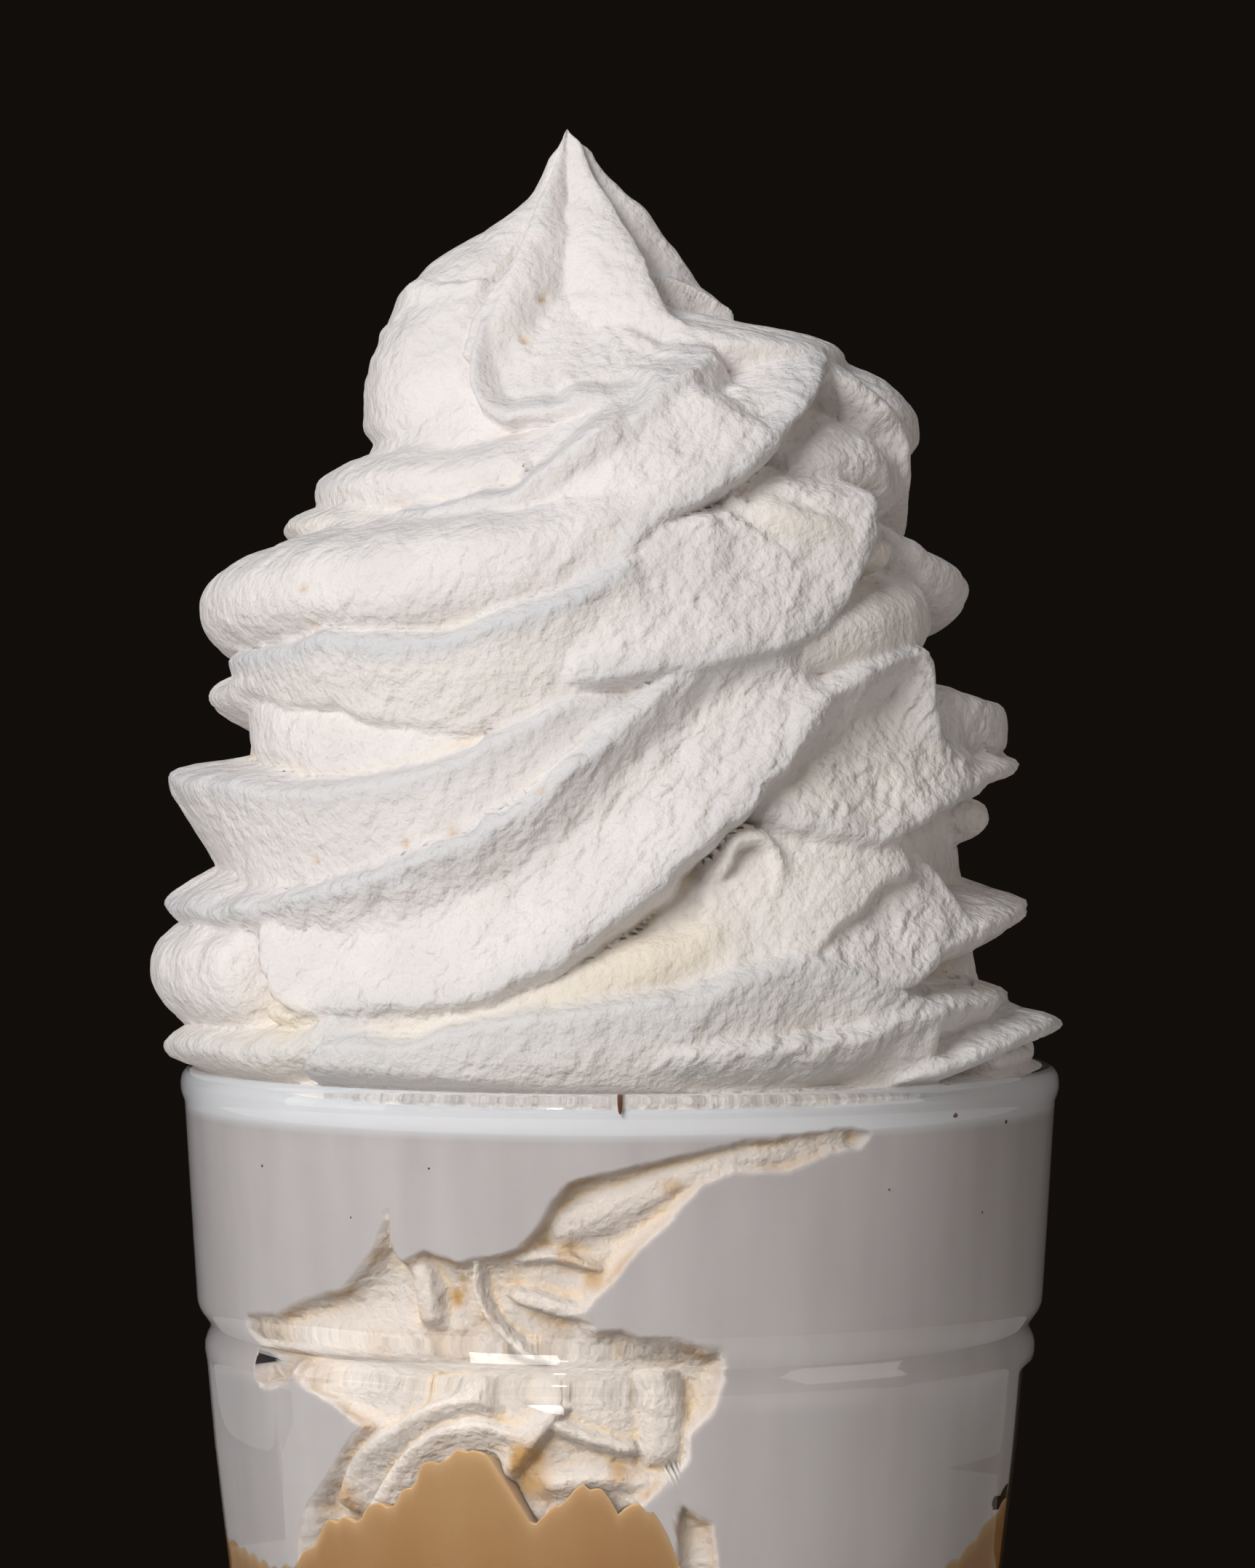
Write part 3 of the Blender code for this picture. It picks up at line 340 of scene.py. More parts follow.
# Where the filling stands back from the glass: outlines in (angle, height), with their depth.
POCKETS = (
    (((-62, 109.0), (-54, 109.5), (-48, 111.1), (-40, 112.5), (-37, 114.3), (-34, 116.6), (-32, 119.7),
      (-31.4, 116.6), (-30, 115.2), (-27, 116.2), (-21, 115.6), (-17, 116.0), (-13, 116.8), (-10.5, 118.9),
      (-8.5, 121.0), (-6, 122.6), (-2, 123.2), (6, 124.4), (17, 125.9), (30, 126.7), (35, 126.3),
      (33, 125.0), (28, 124.6), (22, 123.1), (15, 123.3), (11, 122.3), (5, 118.2), (0, 114.8),
      (-4.5, 111.4), (-3, 109.8), (6, 109.2), (14, 108.2), (15, 105.4), (12.5, 103.0), (10, 101.0),
      (9, 98.3), (4, 94.9), (6, 92), (6, 84), (-54, 84), (-54, 88), (-52, 91.4), (-51, 93.2), (-47, 95.4),
      (-43, 98.3), (-39, 100.8), (-42, 102.0), (-49, 103.9), (-56, 105.2)), 2.4),
    (((8, 93), (9.5, 95), (13, 93), (14, 88), (14, 84), (8, 84)), 2.0),
    (((-61, 103.4), (-60, 106.4), (-55, 107.0), (-51, 106.0), (-52, 104.2), (-55, 103.2)), 4.5),
    (((70, 92), (86, 96), (98, 104), (104, 112), (118, 117), (130, 113), (126, 103), (112, 96), (94, 90),
      (76, 88)), 3.0),
    (((166, 104), (178, 110), (196, 113), (210, 118), (226, 120), (222, 113), (204, 105), (190, 98),
      (172, 97)), 3.0),
    (((230, 92), (240, 100), (252, 104), (266, 102), (272, 96), (260, 92), (244, 88)), 2.6),
)
POCKET_LIP = 0.7         # depth grows from nothing to most of its value over this distance
OPEN_DEPTH = 0.02        # a place deeper than this is in a pocket
CLEARANCE = (0.25, 0.1)  # cords in a pocket stay this far off the glass: (at most, and for each mm of depth)
INNER_FILL = 1.2
LUMPY_DEPTH = 1.2        # lumps are full at this depth
POCKET_LUMPS = ((0.4, 6.0, 14.0), (0.18, 2.4, 24.0), (0.07, 1.1, 7.0))     # (height, size, shift)
OUTLINE_WANDER = ((0.35, 2.2, 9.1), (0.12, 0.9, 3.3))
UPWARD_WANDER = 0.6      # outlines wander up and down by this share of their wander sideways
MIDDLE_RADIUS = 35.0     # noise and sideways wander behind the glass are measured here

# Cords and sheets of cream that lie in the front pocket: crest points (angle, height, reach).
INNER_STRANDS = {
    "worm": (((-19.5, 115.4, 35.6), (-19.8, 113, 35.5), (-18.5, 111.0, 35.4), (-15.5, 109, 35.2),
        (-13, 108.2, 35.0)), (0.8, 0.8), (2.0, 2.0)),
    "lump": (((-13, 112.3, 35.7), (-9, 111.6, 35.8), (-4, 111.0, 35.7)), (1.2, 1.0), (2.6, 2.2)),
    "left_sheet": (((-60, 107.6, 34.9), (-46, 107.9, 34.6), (-34, 108.6, 34.0), (-24, 109.2, 33.4)),
        (4.6, 3.0), (1.2, 2.4)),
    "block": (((-28.6, 114.9, 35.2), (-27.6, 112.8, 35.4), (-27.2, 110.8, 35.2)), (1.5, 1.5), (4.0, 4.0)),
    "top_sheet": (((-8, 118.4, 35.0), (0, 120.2, 35.2), (8, 122.4, 35.8), (20, 124.6, 36.2),
        (30, 125.6, 36.4)), (2.8, 3.4), (3.0, 2.0)),
    "knot": (((-13, 115.8, 35.0), (-9, 116.0, 35.3), (-4, 115.2, 35.2)), (1.2, 1.0), (2.0, 2.0)),
    "arc": (((-46, 94.0, 33.4), (-41, 98.2, 33.8), (-30, 102.3, 34.2), (-21, 103.8, 34.2)), (1.2, 3.0),
        (2.0, 1.2)),
    "arc_inside": (((-39, 93.8, 33.3), (-31, 99.3, 33.6), (-22, 101.3, 33.8), (-15, 100.9, 33.6)),
        (1.0, 3.0), (2.0, 1.2)),
    "diagonal": (((-9, 102.9, 34.3), (-13, 99.8, 33.8), (-17, 96.9, 33.2)), (0.9, 3.0), (2.0, 1.4)),
    "cluster": (((-8, 101.6, 34.3), (-4, 100.6, 34.3), (1, 99.8, 34.2)), (1.4, 1.3), (2.0, 2.0)),
    "white_block": (((5, 105.0, 34.5), (6.4, 102.4, 34.4), (6.4, 99.4, 34.1)), (2.8, 2.4), (3.0, 3.0)),
    "low_sheet": (((-10, 96.4, 33.2), (-2, 97.0, 33.3), (6, 96.4, 33.3)), (2.2, 2.2), (2.0, 2.0)),
}

# Yellow-brown stains in the front pocket: (angle, height, half width in degrees, half height, strength).
STAINS = (
    (-23.4, 113.6, 1.4, 2.8, 1.0), (-6.5, 116.2, 2.2, 1.2, 0.7), (-3.5, 114.6, 1.6, 1.6, 0.6),
    (-11.5, 117.6, 1.4, 0.8, 0.6), (-15.2, 112.6, 1.0, 1.6, 0.4), (-9.5, 109.6, 2.0, 1.2, 0.45),
    (-13.2, 97.4, 3.4, 3.0, 1.1), (-46, 93.4, 2.6, 2.2, 0.7), (1.5, 97.6, 3.0, 1.2, 0.7),
    (-23, 109.4, 6.0, 2.0, 0.4), (-36, 107.6, 7.0, 1.4, 0.25), (7.0, 122.0, 1.6, 0.8, 0.5),
    (-15.5, 119.6, 0.6, 1.4, 0.7), (-52, 92.2, 2.2, 1.4, 0.7),
)
STAIN_PATCHES = (1.6, 33.0, 0.75, 0.9, 0.0, 1.2)         # (size, shift, middle, swing, least, most)
STAINED_EDGE = 0.8       # strength of the stain along a pocket's rim
STAINED_EDGE_WIDTH = 0.55
EDGE_PATCHES = (3.0, 2.0, 0.7, 1.3, 0.15, 1.3)

# Ends of the filling, and where it draws back behind the coffee.
FILLING_TOP = INNER_RIM_HEIGHT + 0.05
FILLING_END_RADIUS = 20.0
UNDER_EDGE = 1.2         # it starts this far below the coffee's edge
BEHIND_COFFEE = 0.6      # and stands back by this much
BEHIND_HEIGHT = 0.9      # over this height

# Specks on the inside of the glass: (angle, height, half width, half height).
SPECKS = ((0.1, 129.0, 0.22, 0.75), (49.5, 127.6, 0.30, 0.22), (62, 126.2, 0.20, 0.18),
          (-55, 122.6, 0.12, 0.12), (-25.5, 123.4, 0.10, 0.10), (-38, 118.8, 0.08, 0.08),
          (38, 121.2, 0.09, 0.09), (57, 118.4, 0.10, 0.12))
SPECK_OUT = 0.14
SPECK_THICKNESS = 0.10
RIM_SPECK_RADIUS = 37.5

# Top of the coffee layer along the glass, once round: (angle, height).  Behind 60 degrees it is a guess.
COFFEE_TOP = (
    (-60, 86.0), (-54, 87.4), (-50, 89.6), (-47, 91.4), (-44, 91.9), (-41.6, 91.5), (-39, 93.0), (-36, 93.6),
    (-33.6, 93.4), (-32, 94.9), (-29.6, 95.9), (-28.6, 97.2), (-26.5, 97.9), (-24.2, 97.9), (-23.2, 98.7),
    (-21, 99.1), (-19, 98.3), (-17, 97.1), (-15, 95.1), (-13, 93.2), (-12, 92.9), (-10.4, 93.4), (-9, 94.4),
    (-7, 95.0), (-5, 96.2), (-2.4, 95.6), (0, 93.9), (3, 94.4), (5, 93.9), (7, 91.8), (8.5, 89.5), (11, 87.2),
    (16, 85.2), (40, 83.6), (62, 87.5), (76, 92.0), (90, 88.0), (108, 92.5), (126, 86.0), (150, 91.0),
    (172, 95.0), (196, 89.5), (216, 85.5), (238, 90.5), (256, 93.0), (276, 87.0), (300, 86.0))
SCALLOP_RISE = 0.55
SCALLOP_PITCH = 4.6
SCALLOP_WANDER = (1.2, 17.0)
SMOOTH_SLOPE = (-14.5, 3.0, 0.9)     # scallops fade on one slope: (angle, half width, by how much)
PALE_EDGE = 0.9          # the coffee is paler along its edge over this height

# Rings of the coffee: over the glass's floor (height, radius), up the wall as shares of its height,
# and inwards over its top (distance from the wall, rise).
COFFEE_WALL_FOOT = 12.0
COFFEE_FOOT = ((FLOOR_TOP, 12.0), (9.1, 20.6), (9.6, 22.7), (10.55, 24.1),
               (COFFEE_WALL_FOOT + INTO_WALL, 24.8))
COFFEE_SHARES = (*np.linspace(0.03, 0.975, 28), 0.982, 0.988, 0.992, 0.996, 0.998, 1.0)
COFFEE_SURFACE = ((0.3, 0.02), (0.8, -0.1), (1.6, -0.3), (3.0, -0.65), (6.0, -1.6), (14.0, -3.0),
                  (24.0, -3.8))
OVER_FILLING = 0.02      # the coffee reaches this much further into the glass than the filling

# Looks of the cream.  `creases` says from what depth a crease turns to the painted warm light, at what depth
# it is warmest, and by how much.  BROWN_CREASE_SHADE says the same of the painted brown shade.
OPEN_CREAM = {"light": 1.0, "pale": (0.81, 0.762, 0.742), "painted_warm": (0.90, 0.80, 0.63),
              "creases": (0.7, 1.6, 0.5), "shine": 0.45, "bumps": 0.00048, "wrinkled": True}
# behind the glass, `light` darkens the cream as painted shade
CREAM_IN_GLASS = {"light": 0.525, "pale": (0.83, 0.75, 0.685), "painted_warm": (1.0, 0.76, 0.50),
                  "creases": (0.35, 1.6, 0.9), "shine": 0.1, "bumps": 0.0007, "wrinkled": False}
CREAM_FLAT = (0.86, 0.82, 0.77)      # where no nodes are read
CREAM_ROUGHNESS = 0.5
CREAM_SHADER = {"Subsurface_Weight": 0.18, "Subsurface_Radius": (1.0, 0.62, 0.36), "Subsurface_Scale": 0.0015,
                "IOR": 1.4}
MOTTLE = 1.07            # the palest skin is this many times lighter
# painted brown shade in deep creases
CREASE_SHADE_BROWN = (0.78, 0.58, 0.34)
BROWN_CREASE_SHADE = (1.1, 2.0, 0.7)
# painted grey shade along the cords of the crests
CORD_SHADE_GREY = (0.65, 0.65, 0.665)
# for the stains, and for painted shade in the pinholes
STAIN_AND_PIT_SHADE_BROWN = (0.62, 0.37, 0.14)
SMEARS = ((0.376, 0.351, 0.349), (0.41, 0.387, 0.386))   # cream pressed against the glass
# painted pale sheen of the glass's lip over the pressed cream, from LIP_START up
PAINTED_LIP_SHEEN = (0.50, 0.505, 0.525)
LIP_START = (0.1258, 0.1268)         # metres up, where the glass's lip thickens
GRAIN_BUMP = 0.0002      # metres, as are `bumps` above
FINE_WRINKLE_BUMP = 0.0009           # metres
FINE_WRINKLE_WANDER = 0.0022         # metres
FINE_WRINKLE_PITCH = 1.5
FINE_WRINKLE_LENGTH = 3.4
SKIN_ROUGH = (0.68, 0.85)            # bumps on calm skin and on wrinkled skin

COFFEE_FLAT = (0.45, 0.26, 0.11)
COFFEE_ROUGHNESS = 0.35
COFFEE_LOW = (0.205, 0.078, 0.009)
COFFEE_HIGH = (0.32, 0.185, 0.074)
COFFEE_RANGE = (0.076, 0.098)        # metres up
COFFEE_STREAK = (0.35, 0.215, 0.095)
COFFEE_STREAKS = (0.4, 0.75, 0.0, 0.35)          # (noise from, to, none of it, most of it)
COFFEE_EDGE = (0.42, 0.28, 0.15)
EDGE_SHARE = 0.7
COFFEE_SHADER = {"Subsurface_Weight": 0.3, "Subsurface_Radius": (1.0, 0.5, 0.2), "Subsurface_Scale": 0.003,
                 "Specular_IOR_Level": 0.1}
SPECK_COLOUR = (0.09, 0.028, 0.010)
SPECK_ROUGHNESS = 0.4
GLASS_COLOUR = (1.0, 1.0, 1.0)
GLASS_ROUGHNESS = 0.0
GLASS_SHADER = {"Transmission_Weight": 1.0, "IOR": 1.5}

# Noise textures of the finishes, with cells per metre as their scale, and how far some are drawn out.
MOTTLE_TEXTURE = {"Scale": 140.0, "Detail": 3.0}
GRAIN_TEXTURE = {"Scale": 1500.0, "Detail": 4.0, "Roughness": 0.6}
BUMP_TEXTURE = {"Scale": 1000.0, "Detail": 2.5, "Roughness": 0.5}
WRINKLE_TEXTURE = {"Scale": 1000.0, "Detail": 1.4, "Roughness": 0.45}
WANDER_TEXTURE = {"Scale": 260.0, "Detail": 1.0}
SMEAR_TEXTURE = {"Scale": 220.0, "Detail": 4.0}
SMEAR_STRETCH = 0.15
CLOUD_TEXTURE = {"Scale": 160.0, "Detail": 3.0}
CLOUD_STRETCH = 0.08
MIDDLE_NOISE = (0.35, 0.65)          # most of a texture's values lie between these

# Stage, in metres and watts: lights with their place, size, power and colour.
FLOOR_RADIUS = 0.40
FLOOR_COLOUR = (0.72, 0.71, 0.69)
FLOOR_ROUGHNESS = 0.75
LIGHTS = {
    "window": ((-0.37, -0.65, 0.43), 0.36, 4.6, (1.0, 0.985, 0.965)),
    "pane": ((-0.21, -0.72, 0.37), 0.05, 0.5, (1.0, 0.99, 0.975)),
    "overhead": ((-0.10, -0.10, 0.75), 0.6, 0.8, (0.78, 0.88, 1.0)),
    "left_wall": ((-0.65, -0.15, 0.25), 0.4, 0.6, (0.93, 0.96, 1.0)),
    "room": ((0.70, -0.30, 0.45), 0.5, 1.3, (1.0, 0.93, 0.87)),
}
NOT_MIRRORED = "window"  # its own small pane shows in the glass instead
LIGHTS_AIM = (0.0, 0.0, 0.15)
BACKDROP = (0.006, 0.0045, 0.0035)
CAMERA_PLACE = (0.0007, -0.498, 0.164)
CAMERA_NEAR = 0.01
SENSOR = 36.0
PICTURE_HEIGHT = 2156.0  # pixels
FOCAL_PIXELS = 7500.0
HORIZON_PIXELS = 128.0   # the horizon lies this far above the picture's middle

LATTICE = np.random.default_rng(23).uniform(-1.0, 1.0, (64, 64, 64))


def detail(choice):
    return choice[0]


def noise(x, y, z):
    """Smooth noise between -1 and 1 at points given in cells."""
    floors = [np.floor(v).astype(int) for v in (x, y, z)]
    eased = []
    for value, floor in zip((x, y, z), floors):
        part = value - floor
        eased.append(part ** 3 * (part * (part * 6 - 15) + 10))
    total = 0.0
    for corner in itertools.product((0, 1), repeat=3):
        weight = 1.0
        for step, ease in zip(corner, eased):
            weight = weight * (ease if step else 1.0 - ease)
        place = tuple((floor + step) % len(LATTICE) for floor, step in zip(floors, corner))
        total = total + weight * LATTICE[place]
    return total


def field(places, size, shift):
    """Noise over three coordinates in millimetres, with cells of one size."""
    return noise(*[value / size + shift for value in places])


def layered(places, layers):
    """A sum of noise fields: (height, size, shift) each."""
    return sum(height * field(places, size, shift) for height, size, shift in layers)


def patches(places, size, shift, middle, swing, least, most):
    """Noise about a middle value and held between two others, by which something comes and goes."""
    return np.clip(middle + swing * field(places, size, shift), least, most)


def smooth_path(points, step):
    """A smooth line through points, in steps of at most `step` degrees and half as many millimetres."""
    line = []
    known = [np.array(point) for point in points]
    ends = [2 * known[0] - known[1], *known, 2 * known[-1] - known[-2]]
    for before, start, end, after in zip(ends, ends[1:], ends[2:], ends[3:]):
        count = max(2, math.ceil(max(abs(end[0] - start[0]), 2 * abs(end[1] - start[1])) / step))
        for t in np.arange(count) / count:
            line.append(0.5 * (2 * start + (end - before) * t
                               + (2 * before - 5 * start + 4 * end - after) * t ** 2
                               + (3 * start - before - 3 * end + after) * t ** 3))
    line.append(ends[-2])
    return np.array(line)


def table(rows, at):
    """Value at `at` on the line through (place, value) rows."""
    places, values = zip(*rows)
    return np.interp(at, places, values)


def faded(value, start, over, least=0.0):
    """`least` before `start`, growing to 1 over a distance; a negative distance fades the other way."""
    return np.clip((value - start) / over, least, 1.0)


def turn_from(angle, middle):
    """Angles counted from a middle one, between -180 and 180 degrees."""
    return (angle - middle + 180.0) % 360.0 - 180.0


def outside_span(values, line):
    """How far values lie outside the span of a line."""
    return np.abs(values - np.clip(values, line.min(), line.max()))


def strand_surface(strand, limit, angles, heights, radius):
    """Reach of one strand on a grid of places, falling away from its crest line, and the distance to that."""
    points, widths, powers = strand
    line = smooth_path(points, STEP_ANGLE)
    last = len(line) - 2
    reach = np.full(angles.shape, -100.0)
    gap = np.full(angles.shape, 100.0)
    rows = np.flatnonzero(outside_span(heights.mean(axis=0), line[:, 1]) < SPREAD)
    for turn in (-360.0, 0.0, 360.0):
        columns = np.flatnonzero(outside_span(angles.mean(axis=1) + turn, line[:, 0]) < SPREAD_ANGLE)
        if not len(columns) or not len(rows):
            continue
        spot = np.ix_(columns, rows)
        angle, height = angles[spot] + turn, heights[spot]
        arc = np.radians(radius[spot])
        nearest = np.full(angle.shape, np.inf)
        found = np.full(angle.shape, -np.inf)
        for start in range(last + 1):
            step_x = (line[start + 1, 0] - line[start, 0]) * arc
            step_z = line[start + 1, 1] - line[start, 1]
            length = np.hypot(step_x, step_z) + 1e-9
            x, z = (angle - line[start, 0]) * arc, height - line[start, 1]
            along = (x * step_x + z * step_z) / length
            side = (z * step_x - x * step_z) / length
            t = np.clip(along / length, 0, 1)
            beyond = np.abs(along - t * length)
            distance = np.hypot(side, beyond)
            at_end = (along < 0) & (start == 0) | (along > length) & (start == last)
            across = np.where(at_end, np.abs(side), distance)
            width = np.where(side > 0, widths[0], widths[1])
            power = np.where(side > 0, powers[0], powers[1])
            cord = np.where(power < ROUND_BELOW_POWER, CREST_ROUND, 0.0)
            rounded = np.hypot(across, cord) - cord
            edge = limit[0] + (limit[1] - limit[0]) * (start + t) / (last + 1)
            fall = (rounded / width) ** power + (np.maximum(across - edge, 0.0) / SHEET_END) ** 2
            fall = fall + np.where(at_end, (beyond / END_WIDTH) ** 2, 0.0)
            crest = line[start, 2] + t * (line[start + 1, 2] - line[start, 2])
            closer = distance < nearest
            nearest = np.where(closer, distance, nearest)
            found = np.where(closer, crest - FALL * fall, found)
        gap[spot] = np.where(found > reach[spot], nearest, gap[spot])
        reach[spot] = np.maximum(reach[spot], found)
    return reach, gap


def blend_up(one, other, depth):
    """The larger of two values, rounded where they meet."""
    close = np.maximum(depth - np.abs(one - other), 0.0) / depth
    return np.maximum(one, other) + close ** 2 * depth / 4


def merged_strands(strands, base, angles, heights, radius, fill):
    """All strands over a base: their reach, and the leading one's wrinkles, painted warmth and painted grey
    shade along its cord.
    """
    reach = base.copy()
    best = base.copy()
    crinkle = np.where(heights > CALM_HEIGHT, CALM_CRINKLE, DEFAULT_CRINKLE)
    painted_warmth = np.zeros(base.shape)
    cord = np.zeros(base.shape)
    for name, strand in strands.items():
        one, gap = strand_surface(strand, OWN_LIMIT.get(name, SHEET_LIMIT), angles, heights, radius)
        crinkle = np.where(one > best, CRINKLE.get(name, DEFAULT_CRINKLE), crinkle)
        painted_warmth = np.where(one > best, PAINTED_WARMTH.get(name, 0.0), painted_warmth)
        # The leading strand's painted warmth, and painted grey shade near its crest.
        near = np.exp(-(gap / OWN_CORD_SHADE_WIDTH.get(name, CORD_SHADE_WIDTH)) ** 2)
        cord = np.where(one > best, CORD_SHADE.get(name, 0.0) * near, cord)
        best = np.maximum(best, one)
        reach = blend_up(reach, one, OWN_FILL.get(name, fill))
    return reach, crinkle, painted_warmth, cord


def swirl_surface(angles, heights):
    """Reach of the cream above the rim on a grid of columns by rows, with its wrinkles, painted warmth and
    painted cord shade.
    """
    angle, height = np.meshgrid(angles, heights, indexing="ij")
    core = table(CORE, height)
    around = core + CORE_COVER
    turn = np.radians(angle)
    places = [around * np.sin(turn), around * np.cos(turn), height]
    peak_from, peak_over, least = STILL_PEAK
    wander = RAGGED * faded(height, GLASS_HEIGHT, STILL_RIM) * faded(height, peak_from, -peak_over, least)
    sideways, upwards = [
        wander * (field(places, RAGGED_SIZE, coarse)
                  + FINE_RAGGED * field(places, RAGGED_SIZE / FINE_RAGGED_TIMES, fine))
        for coarse, fine in RAGGED_SHIFTS]
    reach, crinkle, *looks = merged_strands(
        STRANDS, core, angle + sideways / np.radians(around), height + upwards, around, CREASE_FILL)
    first, last = RIGHT_SIDE
    crinkle = crinkle + RIGHT_CRINKLE * faded(angle, first, RIGHT_FADE) * faded(angle, last, -RIGHT_FADE)
    above_rim = np.maximum(height - GLASS_HEIGHT - RIM_GAP, 0.0)
    over_rim = RIM_CONTACT_RADIUS + RIM_OVERHANG * (1.0 - np.exp(-above_rim / OVERHANG_RISE))
    under_peak = PEAK_BLUNTNESS * np.sqrt(np.maximum(PEAK_HEIGHT - height, 0.0))
    return [np.minimum(reach, np.minimum(over_rim, under_peak)), crinkle, *looks]


def wall_radius(height):
    """Inner radius of the glass below its rim."""
    return np.interp(height, (FLOOR_TOP, GROOVE_HEIGHT, INNER_RIM_HEIGHT),
                     (INNER_FLOOR_RADIUS, INNER_GROOVE_RADIUS, INNER_RIM_RADIUS))


def points_at(angle, radius, height, middle=0.0):
    """Points in millimetres at angles, radii and heights."""
    turn = np.radians(angle)
    x, y = middle + radius * np.sin(turn), -radius * np.cos(turn)
    return np.stack(np.broadcast_arrays(x, y, height), axis=-1)


def column_angles(half, step, back_step):
    """Angles of a grid's columns once round, closer together within `half` of the front."""
    return np.concatenate([np.arange(-half, half, step), np.arange(half, 360.0 - half, back_step)])


def grid_normals(points):
    """Unit normals of a closed ring grid, pointing away from the axis."""
    around = np.roll(points, -1, axis=0) - np.roll(points, 1, axis=0)
    up = np.gradient(points, axis=1)
    normal = np.cross(around, up)
    return normal / (np.linalg.norm(normal, axis=-1, keepdims=True) + 1e-9)


def blurred(values, passes):
    """A grid softened over its neighbours, closed round its columns."""
    for _ in range(passes):
        values = 0.5 * values + 0.25 * (np.roll(values, 1, axis=0) + np.roll(values, -1, axis=0))
        padded = np.concatenate([values[:, :1], values, values[:, -1:]], axis=1)
        values = 0.5 * values + 0.25 * (padded[:, :-2] + padded[:, 2:])
    return values


def grid_piece(name, points, finish, attributes, top_point=None):
    """A closed mesh through a ring grid of points, with a fan on each end."""
    columns, rows = points.shape[:2]
    low = points[:, 0].mean(axis=0)
    high = points[:, -1].mean(axis=0) if top_point is None else np.array(top_point)
    verts = np.concatenate([points.reshape(-1, 3), [low, high]]) * MM
    index = np.arange(columns * rows).reshape(columns, rows)
    following = np.roll(index, -1, axis=0)
    quads = np.stack([index[:, :-1], following[:, :-1], following[:, 1:], index[:, 1:]], axis=-1)
    foot, tip = columns * rows, columns * rows + 1
    fans = [(foot, b, a) for a, b in zip(index[:, 0].tolist(), following[:, 0].tolist())]
    fans += [(tip, a, b) for a, b in zip(index[:, -1].tolist(), following[:, -1].tolist())]
    mesh = bpy.data.meshes.new(name)
    mesh.from_pydata(verts.tolist(), [], quads.reshape(-1, 4).tolist() + fans)
    mesh.validate()
    for label, values in attributes.items():
        layer = mesh.attributes.new(label, "FLOAT", "POINT")
        layer.data.foreach_set("value", np.concatenate([values.ravel(), [0.0, 0.0]]).astype(np.float32))
    mesh.shade_smooth()
    mesh.materials.append(finish)
    piece = bpy.data.objects.new(name, mesh)
    bpy.context.scene.collection.objects.link(piece)
    return piece


def crease_depths(points, passes, full_depth):
    """0 on open skin, 1 at `full_depth` of a crease and DEEPEST_CREASE at most."""
    sunk = ((blurred(points, passes) - points) * grid_normals(points)).sum(axis=-1)
    return np.clip(sunk / full_depth, 0.0, DEEPEST_CREASE)


def skin_relief(points, crinkle):
    """Height of the skin's wrinkles, lumps and grain at each point of a grid, in millimetres."""
    places = [points[..., axis] for axis in range(3)]
    x, y, z = places
    bends = [amount * field(places, size, shift) for size, shift, amount in WRINKLE_BENDS]
    tilt = math.radians(WRINKLE_TILT)
    along = x * math.cos(tilt) + z * math.sin(tilt) + bends[0]
    across = z * math.cos(tilt) - x * math.sin(tilt) + bends[1]
    folds = noise(across / WRINKLE_PITCH, along / WRINKLE_LENGTH, y / WRINKLE_LENGTH)
    folds = np.hypot(folds, WRINKLE_SOFTNESS)
    grain = np.abs(field(places, *GRAIN_FIELD))
    return (WRINKLE_DEPTH * crinkle * patches(places, *WRINKLE_PATCHES) * (folds - FOLD_LEVEL)
            + LUMP_DEPTH * (CALM_LUMPS + (1.0 - CALM_LUMPS) * crinkle) * field(places, *LUMP_FIELD)
            + GRAIN_DEPTH * (CALM_GRAIN + (1.0 - CALM_GRAIN) * crinkle) * (grain - FOLD_LEVEL))


def crown_rows(angles, rows):
    """The swirl's top as rows that fan out from a point inside it: points, wrinkles, painted warmth and
    painted cord shade.
    """
    fine = np.linspace(CROWN_CENTRE, PEAK_HEIGHT, CROWN_SAMPLES)
    reach, *looks = swirl_surface(angles, fine)
    column = np.arange(len(angles))
    found = []
    for row in range(1, rows):
        slope = math.tan(math.radians(90.0 * row / rows))
        past = reach - (fine - CROWN_CENTRE)[None, :] / slope
        last = past.shape[1] - 1 - np.argmax(past[:, ::-1] > 0, axis=1)
        after = np.minimum(last + 1, past.shape[1] - 1)
        low, high = past[column, last], past[column, after]
        height = fine[last] + low / np.maximum(low - high, 1e-9) * (fine[1] - fine[0])
        height = np.minimum(height, PEAK_HEIGHT - TIP_GAP)
        place = points_at(angles, (height - CROWN_CENTRE) / slope, height, table(LEAN, height))
        found.append((place, *(look[column, last] for look in looks)))
    return [np.stack(group, axis=1) for group in zip(*found)]


def pinholes(points):
    """1 in the middle of each pinhole of the skin, falling to 0 round it."""
    angle = np.degrees(np.arctan2(points[..., 0] - table(LEAN, points[..., 2]), -points[..., 1]))
    arc = np.radians(np.hypot(points[..., 0], points[..., 1]))
    found = np.zeros(angle.shape)
    for middle, height, size in PINHOLES:
        apart = np.hypot((angle - middle) * arc, points[..., 2] - height)
        found = np.maximum(found, np.exp(-(apart / size) ** 2))
    return found


